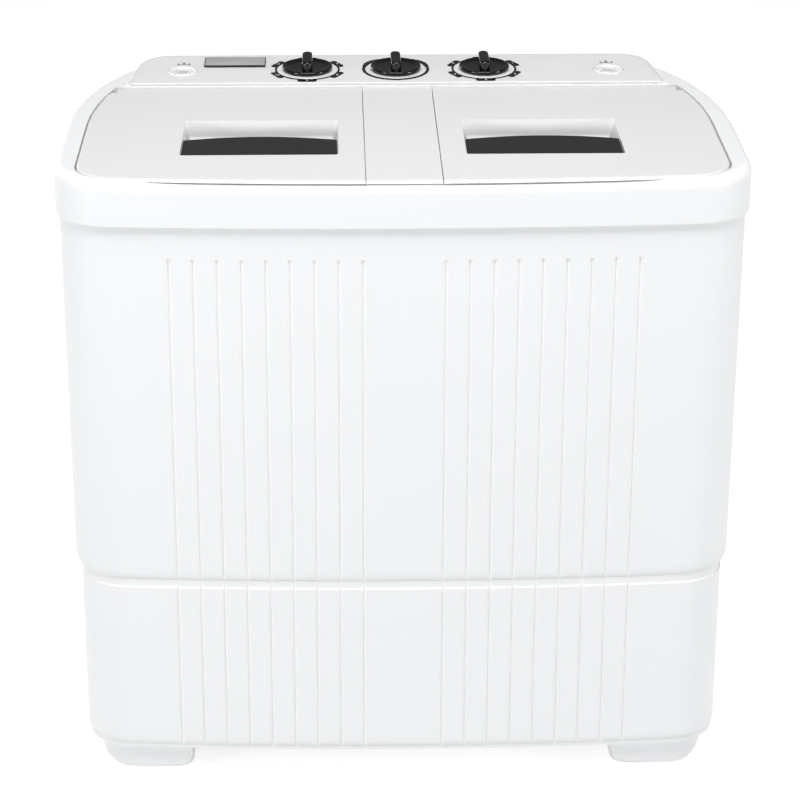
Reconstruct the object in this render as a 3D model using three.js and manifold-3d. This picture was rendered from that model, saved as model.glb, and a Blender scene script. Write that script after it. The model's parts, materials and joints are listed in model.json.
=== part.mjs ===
// A compact twin-tub washing machine: a wash tub with a belt-driven pulsator on the left, a spin basket
// on its own motor on the right, one grooved plastic cabinet round both, and a console along the back.
// Millimetres, +Z up, +X to the right of someone who stands in front of it, front at -Y.
// The origin is on the floor, under the middle of the machine.

import * as THREE from 'three';
import { mergeVertices } from 'three/addons/utils/BufferGeometryUtils.js';
import Module from 'manifold-3d';

const wasm = await Module();
wasm.setup();

// ---- Driving dimensions ----

const WIDTH = 590;
const DEPTH = 360;
const RIM_HEIGHT = 551;          // front edge of the top deck
const DECK_SLOPE = THREE.MathUtils.degToRad(5);
const CONSOLE_SLOPE = THREE.MathUtils.degToRad(6);
const GAP = 0.3;                 // between pieces that touch
const WALL = 2.5;                // moulded plastic walls

const FOOT_HEIGHT = 27;
const SEAM_HEIGHT = 193;         // lower edge of the grooved cabinet
const COLLAR_HEIGHT = 38;
const COLLAR_BOTTOM = RIM_HEIGHT - COLLAR_HEIGHT;

const FRONT_BOW_RADIUS = 3180;   // plan radius of the gently bowed front
const FRONT_CORNER = 57;
const REAR_CORNER_X = 113;       // the back corners are quarter ellipses in plan
const REAR_CORNER_Y = 206;

const CABINET_INSET = { side: 3, front: 4, back: 3 };
const PLINTH_INSET = { side: 9.8, front: 4.6, back: 8 };
const CABINET_DRAFT = 1.3;       // how much the cabinet's sides draw in from its top to its foot

const GROOVE_PITCH = 20.3;
const GROOVES_PER_SIDE = 9;
const FIRST_GROOVE = 1.7 * GROOVE_PITCH;
const GROOVE_WIDTH = 3.4;
const GROOVE_DEPTH = 1.3;
const GROOVE_TOP = 485;

const LID_FIELD = { side: 20, front: 6, back: 20 };
const LID_BACK = 84;             // Y of the back edge of the lids
const STRIP_HALF = 31.6;         // half the width of the fixed strip between the lids
const LID_THICKNESS = 11;
const GRIP_X = 122;              // middle of each hand hold, from the middle of the machine
const GRIP_WIDTH = 135;
const GRIP_FRONT = -105;
const GRIP_BACK = -14;
const GRIP_BAR_DEPTH = 50;

const CONSOLE_FRONT = 85;
const KNOB_Y = 122;
const KNOB_SPACING = 82.6;
const KNOB_RADIUS = 23.4;
const INLET_X = 199;
const INLET_Y = 119;

const WASH_AXIS = new THREE.Vector2(-151, -20);
const SPIN_AXIS = new THREE.Vector2(153.5, -42);
const WASH_MOTOR_AXIS = new THREE.Vector2(-26, 92);
const TUB_RIM = 531;
const TUB_FLOOR = 214;
const BELT_HEIGHT = 74;
const DRIVEN_PULLEY_RADIUS = 76;
const MOTOR_PULLEY_RADIUS = 19;

// ---- Materials: colour, roughness and metalness of each finish ----

const finishes = {
  white_plastic: { color: 0xf4f5f6, roughness: 0.42, metalness: 0 },
  light_grey_plastic: { color: 0xeeeff0, roughness: 0.38, metalness: 0 },
  charcoal_plastic: { color: 0x363436, roughness: 0.6, metalness: 0 },
  black_gloss: { color: 0x151313, roughness: 0.25, metalness: 0 },
  badge_metal: { color: 0xb4b6b8, roughness: 0.35, metalness: 0.9 },
  tub_plastic: { color: 0xdfe6ea, roughness: 0.5, metalness: 0 },
  blue_plastic: { color: 0x7fa6c4, roughness: 0.5, metalness: 0 },
  steel: { color: 0xa9acb0, roughness: 0.35, metalness: 0.95 },
  cast_aluminium: { color: 0x9a9da0, roughness: 0.55, metalness: 0.9 },
  black_rubber: { color: 0x1c1c1c, roughness: 0.85, metalness: 0 },
  motor_paint: { color: 0x3c4248, roughness: 0.5, metalness: 0.3 },
};

// ---- Solid modelling helpers ----

/** A closed geometry as a solid that can be joined and cut. */
function toSolid(geometry) {
  const bare = geometry.clone();
  bare.deleteAttribute('normal');
  bare.deleteAttribute('uv');
  const merged = mergeVertices(bare, 1e-4);
  return new wasm.Manifold(new wasm.Mesh({
    numProp: 3,
    vertProperties: Float32Array.from(merged.attributes.position.array),
    triVerts: Uint32Array.from(merged.index.array),
  }));
}

/** A solid back as a three.js geometry. */
function toGeometry(solid) {
  const mesh = solid.asOriginal().simplify(0.02).getMesh();
  const geometry = new THREE.BufferGeometry();
  geometry.setAttribute('position', new THREE.BufferAttribute(mesh.vertProperties, 3));
  geometry.setIndex(new THREE.BufferAttribute(mesh.triVerts, 1));
  return geometry;
}

/** One body from several that touch or overlap. */
function join(...geometries) {
  return toGeometry(geometries.map(toSolid).reduce((a, b) => a.add(b)));
}

/** The first geometry with all the others cut out of it. */
function cut(base, ...tools) {
  return toGeometry(tools.map(toSolid).reduce((a, b) => a.subtract(b), toSolid(base)));
}

/** What two geometries have in common. */
function common(a, b) {
  return toGeometry(toSolid(a).intersect(toSolid(b)));
}

/** A box given by its lowest corner and its highest corner. */
function block(x0, y0, z0, x1, y1, z1) {
  const geometry = new THREE.BoxGeometry(x1 - x0, y1 - y0, z1 - z0);
  return geometry.translate((x0 + x1) / 2, (y0 + y1) / 2, (z0 + z1) / 2);
}

/** An upright cylinder, or a cone where the radii differ. */
function post(x, y, z0, z1, radius, segments = 20, topRadius = radius) {
  const geometry = new THREE.CylinderGeometry(topRadius, radius, z1 - z0, segments);
  return geometry.rotateX(Math.PI / 2).translate(x, y, (z0 + z1) / 2);
}

/** A cylinder along X. */
function barX(x0, x1, y, z, radius, segments = 12) {
  const geometry = new THREE.CylinderGeometry(radius, radius, x1 - x0, segments);
  return geometry.rotateZ(Math.PI / 2).translate((x0 + x1) / 2, y, z);
}

/** A cylinder along Y. */
function barY(x, y0, y1, z, radius, segments = 16) {
  const geometry = new THREE.CylinderGeometry(radius, radius, y1 - y0, segments);
  return geometry.translate(x, (y0 + y1) / 2, z);
}

/** A body turned about the Z axis; the profile is a closed loop of [radius, height] pairs. */
function turned(profile, segments = 24) {
  const points = profile.map(([r, z]) => new THREE.Vector2(r, z));
  if (profile[0][0] > 0) points.push(points[0].clone());
  const geometry = new THREE.LatheGeometry(points, segments);
  geometry.rotateX(Math.PI / 2);
  const volume = toSolid(geometry).volume();
  return volume > 0 ? geometry : flipped(geometry);
}

/** The same surface with its faces turned over. */
function flipped(geometry) {
  const index = Array.from(geometry.index.array);
  for (let i = 0; i < index.length; i += 3) [index[i], index[i + 1]] = [index[i + 1], index[i]];
  const turnedOver = geometry.clone();
  turnedOver.setIndex(index);
  return turnedOver;
}

/** A flat outline raised between two heights. */
function prism(points, z0, z1) {
  const shape = new THREE.Shape(points);
  return new THREE.ExtrudeGeometry(shape, { depth: z1 - z0, bevelEnabled: false }).translate(0, 0, z0);
}

/** Points of an arc, both ends included. */
function arc(cx, cy, rx, ry, from, to, steps) {
  return Array.from({ length: steps + 1 }, (_, i) => {
    const a = from + (to - from) * i / steps;
    return new THREE.Vector2(cx + rx * Math.cos(a), cy + ry * Math.sin(a));
  });
}

/** A rectangle with round corners, anticlockwise. */
function roundRect(x0, y0, x1, y1, r, steps = 5) {
  const half = Math.PI / 2;
  return [
    ...arc(x1 - r, y0 + r, r, r, -half, 0, steps),
    ...arc(x1 - r, y1 - r, r, r, 0, half, steps),
    ...arc(x0 + r, y1 - r, r, r, half, 2 * half, steps),
    ...arc(x0 + r, y0 + r, r, r, 2 * half, 3 * half, steps),
  ];
}

/** A closed skin through a stack of loops with equal point counts, capped at both ends or joined on. */
function loft(rings, closed = false) {
  const count = rings[0].length;
  const position = rings.flat().flatMap((p) => [p.x, p.y, p.z]);
  const index = [];
  const bands = closed ? rings.length : rings.length - 1;
  for (let k = 0; k < bands; k++) {
    const low = k * count;
    const high = ((k + 1) % rings.length) * count;
    for (let i = 0; i < count; i++) {
      const j = (i + 1) % count;
      index.push(low + i, low + j, high + j, low + i, high + j, high + i);
    }
  }
  if (!closed) {
    const cap = THREE.ShapeUtils.triangulateShape(rings[0].map((p) => new THREE.Vector2(p.x, p.y)), []);
    const top = (rings.length - 1) * count;
    const topRing = rings[rings.length - 1].map((p) => new THREE.Vector2(p.x, p.y));
    const topCap = THREE.ShapeUtils.triangulateShape(topRing, []);
    cap.forEach(([a, b, c]) => index.push(c, b, a));
    topCap.forEach(([a, b, c]) => index.push(top + a, top + b, top + c));
  }
  const geometry = new THREE.BufferGeometry();
  geometry.setAttribute('position', new THREE.Float32BufferAttribute(position, 3));
  geometry.setIndex(index);
  return toSolid(geometry).volume() > 0 ? geometry : flipped(geometry);
}

/** Loops of flat points set at given heights, or at a height that depends on the point. */
function ring(points, z) {
  return points.map((p) => new THREE.Vector3(p.x, p.y, typeof z === 'function' ? z(p) : z));
}

// ---- Surfaces that many pieces share ----

/** Height of the sloping deck surface at a depth y. */
const deckTop = (y) => RIM_HEIGHT + Math.tan(DECK_SLOPE) * (y + DEPTH / 2);

/** Height of the console's sloping top at a depth y. */
const consoleTop = (y) => deckTop(CONSOLE_FRONT) + 3 + Math.tan(CONSOLE_SLOPE) * (y - CONSOLE_FRONT);

/** Depth of the bowed front surface at x, for a piece inset from the collar by `front`. */
const frontFace = (x, front) => -DEPTH / 2 + front + x * x / (2 * FRONT_BOW_RADIUS);

/** A ring that lies parallel to the deck, a given height above it. */
const deckRing = (points, above) => ring(points, (p) => deckTop(p.y) + above);

/** The same for the console's top. */
const consoleRing = (points, above) => ring(points, (p) => consoleTop(p.y) + above);

/** A prism between two surfaces parallel to the deck. */
const deckPrism = (points, from, to) => loft([deckRing(points, from), deckRing(points, to)]);

/** The machine's plan outline, drawn in from the collar by separate insets, anticlockwise. */
function planOutline({ side, front, back }) {
  const half = WIDTH / 2 - side;
  const near = -DEPTH / 2 + front;
  const far = DEPTH / 2 - back;
  const r = FRONT_CORNER - side;
  const bowY = near + FRONT_BOW_RADIUS;
  const cornerX = half - r;
  const cornerY = bowY - Math.sqrt((FRONT_BOW_RADIUS - r) ** 2 - cornerX ** 2);
  const meet = Math.atan2(cornerX, bowY - cornerY);
  const rearX = REAR_CORNER_X - side;
  const rearY = REAR_CORNER_Y - back;
  const down = -Math.PI / 2;
  return [
    ...arc(0, bowY, FRONT_BOW_RADIUS, FRONT_BOW_RADIUS, down - meet, down + meet, 6),
    ...arc(cornerX, cornerY, r, r, down + meet, 0, 5).slice(1),
    ...arc(half - rearX, far - rearY, rearX, rearY, 0, -down, 5),
    ...arc(rearX - half, far - rearY, rearX, rearY, -down, -2 * down, 5),
    ...arc(-cornerX, cornerY, r, r, -2 * down, -3 * down - meet, 5).slice(0, -1),
  ];
}

/** An inset with more added: `side` goes on the sides and back, `front` on the front. */
const moreInset = (inset, side, front = side) => ({
  side: inset.side + side,
  front: inset.front + front,
  back: inset.back + side,
});

/** A wall carried round the plan outline. A step is [side, front, height], and back if it isn't as side. */
function wallRound(inset, steps) {
  return loft(steps.map(([side, front, z, back = side]) => ring(planOutline({
    side: inset.side + side,
    front: inset.front + front,
    back: inset.back + back,
  }), z)), true);
}

// ---- Cabinet, plinth and feet ----

const grooveXs = [-1, 1].flatMap((s) =>
  Array.from({ length: GROOVES_PER_SIDE }, (_, i) => s * (FIRST_GROOVE + i * GROOVE_PITCH)));

/** The cutters of the upright grooves in a face inset by `front`, between two heights. */
function grooveCutters(front, z0, z1) {
  const half = GROOVE_WIDTH / 2;
  return grooveXs.map((x) => {
    const y = frontFace(x, front);
    const mouth = y - GROOVE_DEPTH;
    return prism([
      new THREE.Vector2(x - 2 * half, mouth), new THREE.Vector2(x + 2 * half, mouth),
      new THREE.Vector2(x, y + GROOVE_DEPTH),
    ], z0, z1);
  });
}

const SERVICE_OPENING = { x: 150, z0: 262, z1: 468 };

function cabinetShell() {
  const top = RIM_HEIGHT - 15;
  const skin = wallRound(CABINET_INSET, [
    [CABINET_DRAFT + 4.2, 1.4, SEAM_HEIGHT, 4.2],
    [CABINET_DRAFT + 1.4, 0.2, SEAM_HEIGHT + 4, 1.4],
    [CABINET_DRAFT, 0, SEAM_HEIGHT + 12, 0],
    [0, 0, top],
    [WALL, WALL, top],
    [CABINET_DRAFT + WALL, WALL, SEAM_HEIGHT + 12, WALL],
    [CABINET_DRAFT + WALL + 4.2, WALL, SEAM_HEIGHT, WALL + 4.2],
  ]);
  const { x, z0, z1 } = SERVICE_OPENING;
  const opening = block(-x, DEPTH / 2 - 20, z0, x, DEPTH / 2, z1);
  return cut(skin, opening, ...grooveCutters(CABINET_INSET.front, SEAM_HEIGHT - 5, GROOVE_TOP));
}

const FOOT_X = 226;
const FOOT_FRONT = -120;
const FOOT_BACK = 118;
const FLOOR_THICKNESS = 4;

/** The plinth's floor with the openings under the belt and the spin motor. */
function plinthFloor() {
  const outline = planOutline(moreInset(PLINTH_INSET, 1.5));
  const plate = prism(outline, FOOT_HEIGHT, FOOT_HEIGHT + FLOOR_THICKNESS);
  const beltWell = prism(roundRect(-240, -88, -70, 48, 40, 3), FOOT_HEIGHT - 5, FOOT_HEIGHT + 10);
  const slots = [0, 1, 2, 3].map((i) => block(-50, -70 + i * 26, FOOT_HEIGHT - 5, 40, -60 + i * 26, 60));
  return cut(plate, beltWell, ...slots);
}

function plinthShell() {
  const ledge = SEAM_HEIGHT - 8;
  const skin = wallRound(PLINTH_INSET, [
    [10, 6, FOOT_HEIGHT],
    [3.2, 1.8, FOOT_HEIGHT + 3],
    [0, 0, FOOT_HEIGHT + 13],
    [0, 0, ledge],
    [1.2, 1.2, ledge + 0.8],
    [1.2, 1.2, SEAM_HEIGHT - GAP],
    [2.9, 2.9, SEAM_HEIGHT - GAP],
    [2.9, 2.9, SEAM_HEIGHT + 10],
    [5.2, 5.2, SEAM_HEIGHT + 10],
    [WALL + 1.2, WALL + 1.2, ledge - 8],
    [WALL, WALL, FOOT_HEIGHT + 12],
    [12, 9, FOOT_HEIGHT + 2.5],
  ]);
  const drainHole = barY(DRAIN_OUTLET.x, 150, DEPTH / 2, DRAIN_OUTLET.z, DRAIN_OUTLET.r + 0.6, 12);
  const cordHole = barY(CORD_GLAND.x, 150, DEPTH / 2, CORD_GLAND.z, CORD_GLAND.r + 0.6, 10);
  const sockets = footPlaces.map(({ x, y }) =>
    post(x, y, FOOT_HEIGHT + FLOOR_THICKNESS - 1, FOOT_HEIGHT + 20, 9, 8));
  const screwHoles = footPlaces.map(({ x, y }) => post(x, y, FOOT_HEIGHT - 1, FOOT_HEIGHT + 21, 3, 6));
  const shell = join(skin, plinthFloor(), ...sockets);
  return cut(shell, drainHole, cordHole, ...screwHoles,
    ...grooveCutters(PLINTH_INSET.front, FOOT_HEIGHT - 5, SEAM_HEIGHT - GAP - 0.2));
}

const footPlaces = ['front_left', 'front_right', 'back_left', 'back_right'].map((name) => ({
  name,
  x: name.endsWith('left') ? -FOOT_X : FOOT_X,
  y: name.startsWith('front') ? FOOT_FRONT : FOOT_BACK,
}));

/** A hollow moulded foot: its outer wall curves in to the floor and its inner wall is nearly straight. */
function foot({ x, y }) {
  const out = Math.sign(x);
  const ahead = Math.sign(y);
  const levels = [[0, 36, 9], [3, 20, 5], [11, 6, 1.5], [FOOT_HEIGHT - GAP, 0, 0]];
  const loop = (shrinkOut, shrinkIn, z) => {
    const inner = x - out * (39 - shrinkIn);
    const outer = x + out * (45 - shrinkOut);
    const nearEnd = y + ahead * (46 - shrinkOut * 0.45);
    const farEnd = y - ahead * (42 - shrinkIn);
    const corner = 10;
    const [x0, x1] = [Math.min(inner, outer), Math.max(inner, outer)];
    const [y0, y1] = [Math.min(nearEnd, farEnd), Math.max(nearEnd, farEnd)];
    return ring(roundRect(x0, y0, x1, y1, corner, 2), z);
  };
  const body = loft(levels.map(([z, shrinkOut, shrinkIn]) => loop(shrinkOut, shrinkIn, z)));
  const underPlinth = prism(planOutline(moreInset(PLINTH_INSET, 11, 8)), 0, FOOT_HEIGHT);
  const hollow = post(x - out * 4, y, 6, FOOT_HEIGHT + 1, 20, 12);
  const pin = post(x, y, 5, FOOT_HEIGHT + 14, 2.4, 6);
  return join(cut(common(body, underPlinth), hollow), pin);
}

// ---- Top deck with its collar, wells and openings ----

const WELL_DEPTH = LID_THICKNESS + 0.6;
const TRAY_DEPTH = WELL_DEPTH + WALL;
const LID_GAP = 1;               // seam round the lids
const LID_AXIS_Y = 77.5;
const LID_BARREL = 5.4;
const lidAxisZ = deckTop(LID_AXIS_Y) - 5.8;
const OPENING = { inner: 46, back: 68 };   // each tub's opening, from the middle strip and to the back

/** One side of the lid field: side is -1 for the wash tub's half and 1 for the spin tub's half. */
function halfField(outline, side, nearX, backY) {
  const farX = WIDTH / 2;
  const [x0, x1] = side < 0 ? [-farX, -nearX] : [nearX, farX];
  return withoutSpares(outline.map((p) =>
    new THREE.Vector2(THREE.MathUtils.clamp(p.x, x0, x1), Math.min(p.y, backY))));
}

/** A loop without doubled points and without points in the middle of a straight run. */
function withoutSpares(loop) {
  const distinct = loop.filter((p, i, all) => p.distanceTo(all[(i + 1) % all.length]) > 0.01);
  return distinct.filter((p, i, all) => {
    const before = p.clone().sub(all[(i + all.length - 1) % all.length]);
    const after = all[(i + 1) % all.length].clone().sub(p);
    return Math.abs(before.cross(after)) > 1e-3 * before.length() * after.length();
  });
}

/** The outline of a tub's opening in the deck, grown by `grow`. */
function openingOutline(side, grow) {
  const round = planOutline({ side: 33 - grow, front: 21 - grow, back: 33 - grow });
  return halfField(round, side, OPENING.inner - grow, OPENING.back + grow);
}

function topDeck() {
  const collar = { side: 0, front: 0, back: 0 };
  const around = (side, z) => ring(planOutline(moreInset(collar, side)), z);
  const above = (side, height) => deckRing(planOutline(moreInset(collar, side)), height);
  const shell = loft([
    above(8, -WALL - 0.5), above(WALL + 0.4, -8),
    around(WALL + 0.4, COLLAR_BOTTOM), around(0.8, COLLAR_BOTTOM),
    around(0, COLLAR_BOTTOM + 1), above(0, -9), above(0.9, -5), above(3.4, -1.6), above(8, 0),
  ]);
  const tray = deckPrism(halfField(planOutline(moreInset(LID_FIELD, -LID_GAP - WALL)), 1, -WIDTH, 88),
    -TRAY_DEPTH, -WALL);
  const walls = [-1, 1].map((side) => {
    const outline = openingOutline(side, WALL);
    return loft([ring(outline, TUB_RIM + GAP), deckRing(outline, -WELL_DEPTH - 1)]);
  });
  const solid = join(shell, tray, ...walls);
  const wellOutline = planOutline(moreInset(LID_FIELD, -LID_GAP));
  const wells = [-1, 1].map((side) =>
    deckPrism(halfField(wellOutline, side, STRIP_HALF + 0.5, 84.6), -WELL_DEPTH, 2));
  const openings = [-1, 1].map((side) => {
    const outline = openingOutline(side, 0);
    return loft([ring(outline, TUB_RIM - 5), deckRing(outline, -WELL_DEPTH + 1)]);
  });
  const stripSeat = deckPrism(roundRect(-STRIP_HALF - 0.6, -185, STRIP_HALF + 0.6, 84.6, 0.1, 1), -3.3, 2);
  const ribHalf = STRIP_HALF - 3;
  const underStrip = deckPrism(roundRect(-ribHalf, -150, ribHalf, 70, 6, 2), -TRAY_DEPTH - 1, -6);
  const consoleBay = deckPrism(roundRect(-226, 94, 226, 150, 12, 3), -9, 2);
  const rodHoles = [-1, 1].map((side) =>
    barX(...hingeRodSpan(side, 0.6), LID_AXIS_Y, lidAxisZ, ROD_RADIUS + 0.35));
  return cut(solid, ...wells, ...openings, stripSeat, underStrip, consoleBay, ...rodHoles);
}

/** The rounded slab that the two lids and the strip between them are cut from. */
function lidSlab(outlineInset) {
  const level = (side, front, height) => deckRing(planOutline(moreInset(outlineInset, side, front)), height);
  return loft([
    level(0, 0, -LID_THICKNESS), level(0, 0, -5.5), level(0.5, 1.1, -2.8),
    level(1.6, 3.2, -0.9), level(3.6, 6.6, 0),
  ]);
}

/** The part of a deck-parallel slab between two x and two y. */
function slabPart(slab, x0, x1, y0, y1) {
  return common(slab, deckPrism(roundRect(x0, y0, x1, y1, 0.1, 1), -30, 5));
}

function centreStrip() {
  const slab = slabPart(lidSlab(LID_FIELD), -STRIP_HALF, STRIP_HALF, -200, LID_BACK);
  const above = deckPrism(roundRect(-STRIP_HALF - 1, -200, STRIP_HALF + 1, LID_BACK + 1, 0.1, 1), -3, 5);
  return common(slab, above);
}

const GRIP_DEPTH = 19;

/** The hand hold's hollow: an upright front and a back wall that sweeps up to the lid's surface. */
function gripScoop(side, grow) {
  const x = side * GRIP_X;
  const level = (backY, half, height) =>
    deckRing(roundRect(x - half, GRIP_FRONT - grow, x + half, backY + grow, 0.8, 1), height);
  const half = GRIP_WIDTH / 2 + grow;
  return loft([
    level(-44, half - 5, -GRIP_DEPTH + (grow > 0 ? -WALL : 0)),
    level(-34, half - 3, -GRIP_DEPTH + 4 - grow * 0.4),
    level(-24, half - 1.2, -9),
    level(-17, half - 0.3, -3),
    level(GRIP_BACK, half, grow > 0 ? -1 : 1),
  ]);
}

/** A lid: a thin slab with a turned-down skirt, a moulded hand hold and a barrel round its hinge rod. */
function lid(side) {
  const near = STRIP_HALF + 0.8;
  const [x0, x1] = side < 0 ? [-WIDTH / 2, -near] : [near, WIDTH / 2];
  const whole = slabPart(lidSlab(LID_FIELD), x0, x1, -200, LID_AXIS_Y);
  const hingeNotch = deckPrism(roundRect(side * 275 - 19, 67, side * 275 + 19, 90, 0.1, 1), -30, 5);
  const slab = cut(whole, hingeNotch);
  const hollowField = planOutline(moreInset(LID_FIELD, 4, 7.5));
  const hollowOutline = halfField(hollowField, side, near + WALL, LID_AXIS_Y - 9);
  const hollow = deckPrism(hollowOutline, -LID_THICKNESS - 2, -WALL);
  const [b0, b1] = lidBarrelSpan(side);
  const barrel = barX(b0, b1, LID_AXIS_Y, lidAxisZ, LID_BARREL, 16);
  const ribs = [-84, 84].map((dx) => {
    const x = side * (STRIP_HALF + 121) + dx;
    return deckPrism(roundRect(x - 1, -150, x + 1, 70, 0.4, 1), -7, -2);
  });
  const skin = join(cut(slab, hollow), barrel, ...ribs, gripScoop(side, WALL));
  const bore = barX(b0 - 14, b1 + 14, LID_AXIS_Y, lidAxisZ, ROD_RADIUS + 0.35);
  return cut(skin, gripScoop(side, 0), bore);
}

const ROD_RADIUS = 2.4;

/** From where to where along X each lid's barrel runs. */
const lidBarrelSpan = (side) => (side < 0 ? [-252, -STRIP_HALF - 0.8] : [STRIP_HALF + 0.8, 252]);

/** From where to where along X each hinge rod runs, seated in the deck at both ends. */
function hingeRodSpan(side, more = 0) {
  const [a, b] = side < 0 ? [-262, -STRIP_HALF + 8] : [STRIP_HALF - 8, 262];
  return [a - more, b + more];
}

const hingeRod = (side) => barX(...hingeRodSpan(side), LID_AXIS_Y, lidAxisZ, ROD_RADIUS);

/** The dark bar across the front of the hand hold; its back edge is a shallow arch. */
function gripBar(side) {
  const x = side * GRIP_X;
  const half = GRIP_WIDTH / 2 - 1;
  const front = GRIP_FRONT + GAP;
  const archSteps = 8;
  const arch = Array.from({ length: archSteps + 1 }, (_, i) => {
    const t = 1 - 2 * i / archSteps;
    return new THREE.Vector2(x + t * half, front + GRIP_BAR_DEPTH - 9 * t * t);
  });
  const outline = [new THREE.Vector2(x - half, front), new THREE.Vector2(x + half, front), ...arch];
  const plate = deckPrism(outline, -4.6, -0.8);
  const lip = deckPrism(roundRect(x - half + 4, front + 0.2, x + half - 4, front + 5, 1, 1), -12, -4);
  return join(plate, lip);
}

// ---- Console, dials, knobs and what they turn ----

const CONSOLE_INSET = { side: 8, front: 0, back: 6 };

/** A puck with rounded top edges that follows the back of the machine's outline. */
function consolePuck(inset, drop, bottom) {
  const level = (side, height) => consoleRing(planOutline(moreInset(inset, side)), height - drop);
  return loft([
    deckRing(planOutline(inset), bottom), level(0, -7), level(1.6, -3.6), level(5, -1.1), level(10.5, 0),
  ]);
}

/** Sets a piece built round the Z axis on the console's slope, at x and a depth y. */
function onConsole(geometry, x, y, above = 0) {
  return geometry.rotateX(CONSOLE_SLOPE).translate(x, y, consoleTop(y) + above);
}

const knobXs = { wash: -KNOB_SPACING, select: 0, spin: KNOB_SPACING };
const SHAFT_HOLE = 4.5;

function consoleHousing() {
  const behind = block(-WIDTH, CONSOLE_FRONT, 0, WIDTH, DEPTH, RIM_HEIGHT * 2);
  const insideBehind = block(-WIDTH, CONSOLE_FRONT + WALL, 0, WIDTH, DEPTH, RIM_HEIGHT * 2);
  const shell = cut(common(consolePuck(CONSOLE_INSET, 0, GAP), behind),
    common(consolePuck(moreInset(CONSOLE_INSET, WALL), WALL, -2), insideBehind));
  const bosses = Object.values(knobXs).map((x) => onConsole(post(0, 0, -1, 0.6, 28.2, 28), x, KNOB_Y));
  const shaftHoles = Object.values(knobXs).map((x) =>
    onConsole(post(0, 0, -9, 3, SHAFT_HOLE, 12), x, KNOB_Y));
  const inletHoles = [-1, 1].map((side) => onConsole(post(0, 0, -9, 3, 12.5, 18), side * INLET_X, INLET_Y));
  const inletSeats = [-1, 1].map((side) =>
    onConsole(post(0, 0, -1.2, 3, 14, 18), side * INLET_X, INLET_Y));
  return cut(join(shell, ...bosses), ...shaftHoles, ...inletHoles, ...inletSeats);
}

/** The thin black dial ring round a timer knob, with six tabs that carry its numbers. */
function timerDial(x) {
  const tabs = Array.from({ length: 6 }, (_, i) => {
    const a = Math.PI / 6 + i * Math.PI / 3;
    const tab = prism(roundRect(-6.5, 27, 6.5, 35, 2.2, 1), 0, 0.4);
    return tab.rotateZ(a - Math.PI / 2);
  });
  const ringPlate = join(post(0, 0, 0, 0.4, 30.4, 24), ...tabs);
  return onConsole(cut(ringPlate, post(0, 0, -1, 1, 28.6, 24)), x, KNOB_Y, GAP / 2);
}

/** The selector's ring: two crescents, thick towards the back, that taper to points at the sides. */
function selectorDial() {
  const plate = cut(post(0, 0, 0, 0.4, 31.4, 28), post(0, 0, -1, 1, 28.6, 28));
  const crescents = [-1, 1].map((s) => {
    const outer = arc(0, 0, 30.5, 30.5, Math.PI / 2 - s * 0.25, Math.PI / 2 - s * 1.5, 6);
    const rim = arc(0, 0, 1, 1, Math.PI / 2 - s * 1.5, Math.PI / 2 - s * 0.25, 6)
      .map((p, i) => p.multiplyScalar(30.5 + 3.6 * Math.sin(Math.PI * (i + 0.6) / 7.2)));
    const loop = [...outer, ...rim];
    return prism(s > 0 ? loop.reverse() : loop, 0, 0.4);
  });
  return onConsole(join(plate, ...crescents), 0, KNOB_Y, GAP / 2);
}

/** A round dished knob with a grip bar across it, front to back. */
function knob() {
  const dish = turned([
    [0, 1.4], [KNOB_RADIUS - 1, 1.4], [KNOB_RADIUS, 2.2], [KNOB_RADIUS, 5], [KNOB_RADIUS - 0.7, 5.8],
    [KNOB_RADIUS - 2, 5.9], [KNOB_RADIUS - 4.5, 4.4], [0, 2.9],
  ], 22);
  const barOutline = roundRect(-4.9, -17.6, 4.9, 18.6, 4.6, 2);
  const shrink = (points, k) => points.map((p) =>
    new THREE.Vector2(p.x * k, (p.y - 0.5) * (1 - (1 - k) * 0.35) + 0.5));
  const bar = loft([
    ring(barOutline, 2.4), ring(shrink(barOutline, 0.97), 10.6),
    ring(shrink(barOutline, 0.85), 12), ring(shrink(barOutline, 0.6), 12.6),
  ]);
  const hub = post(0, 0, -3.5, 2, SHAFT_HOLE - 0.7, 10);
  return cut(join(dish, bar, hub), post(0, 0, -4, 1.5, 2.3, 8));
}

const controlShaft = () => post(0, 0, -12, 1, 2, 8);

/** A clockwork timer: a round can under a mounting plate that screws to the console. */
function timerBody(x) {
  const can = post(0, 0, -31, -6.5, 23, 20);
  const plate = prism(roundRect(-27, -20, 27, 20, 5, 2), -6.8, -4.6);
  const pillars = [-1, 1].map((s) => post(s * 23, 0, -5, -WALL - GAP, 3, 6));
  const terminals = [-1, 1].map((s) => block(s * 8 - 2.5, -6, -37, s * 8 + 2.5, 6, -30.5));
  const body = join(can, plate, ...pillars, ...terminals);
  return onConsole(cut(body, post(0, 0, -12.6, -4, 2.4, 8)), x, KNOB_Y);
}

/** The selector's mechanism: a square housing with the quadrant that the drain strap hooks on. */
function selectorBody() {
  const box = prism(roundRect(-19, -17, 19, 17, 3, 2), -24, -6.5);
  const plate = prism(roundRect(-26, -12, 26, 12, 4, 2), -6.8, -4.6);
  const pillars = [-1, 1].map((s) => post(s * 22.5, 0, -5, -WALL - GAP, 3, 6));
  const quadrant = join(post(0, 0, -30, -23.5, 9, 16), block(-3, 0, -29, 3, 16, -26));
  const body = join(box, plate, ...pillars, quadrant);
  return onConsole(cut(body, post(0, 0, -12.6, -4, 2.4, 8)), 0, KNOB_Y);
}

/** A water inlet: a shallow cup in the console with a raised socket for the fill hose. */
function waterInlet(side) {
  const cup = turned([
    [13.7, 0.5], [13, 0.9], [12.2, 0.9], [10, -2.4], [8.2, -2.4], [7.8, 0.1], [6.4, 0.1],
    [5.8, -3], [5.8, -27], [7.6, -27], [7.6, -9], [11.6, -5], [11.6, -0.9], [13.7, -0.9],
  ], 18);
  return onConsole(cup, side * INLET_X, INLET_Y);
}

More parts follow.
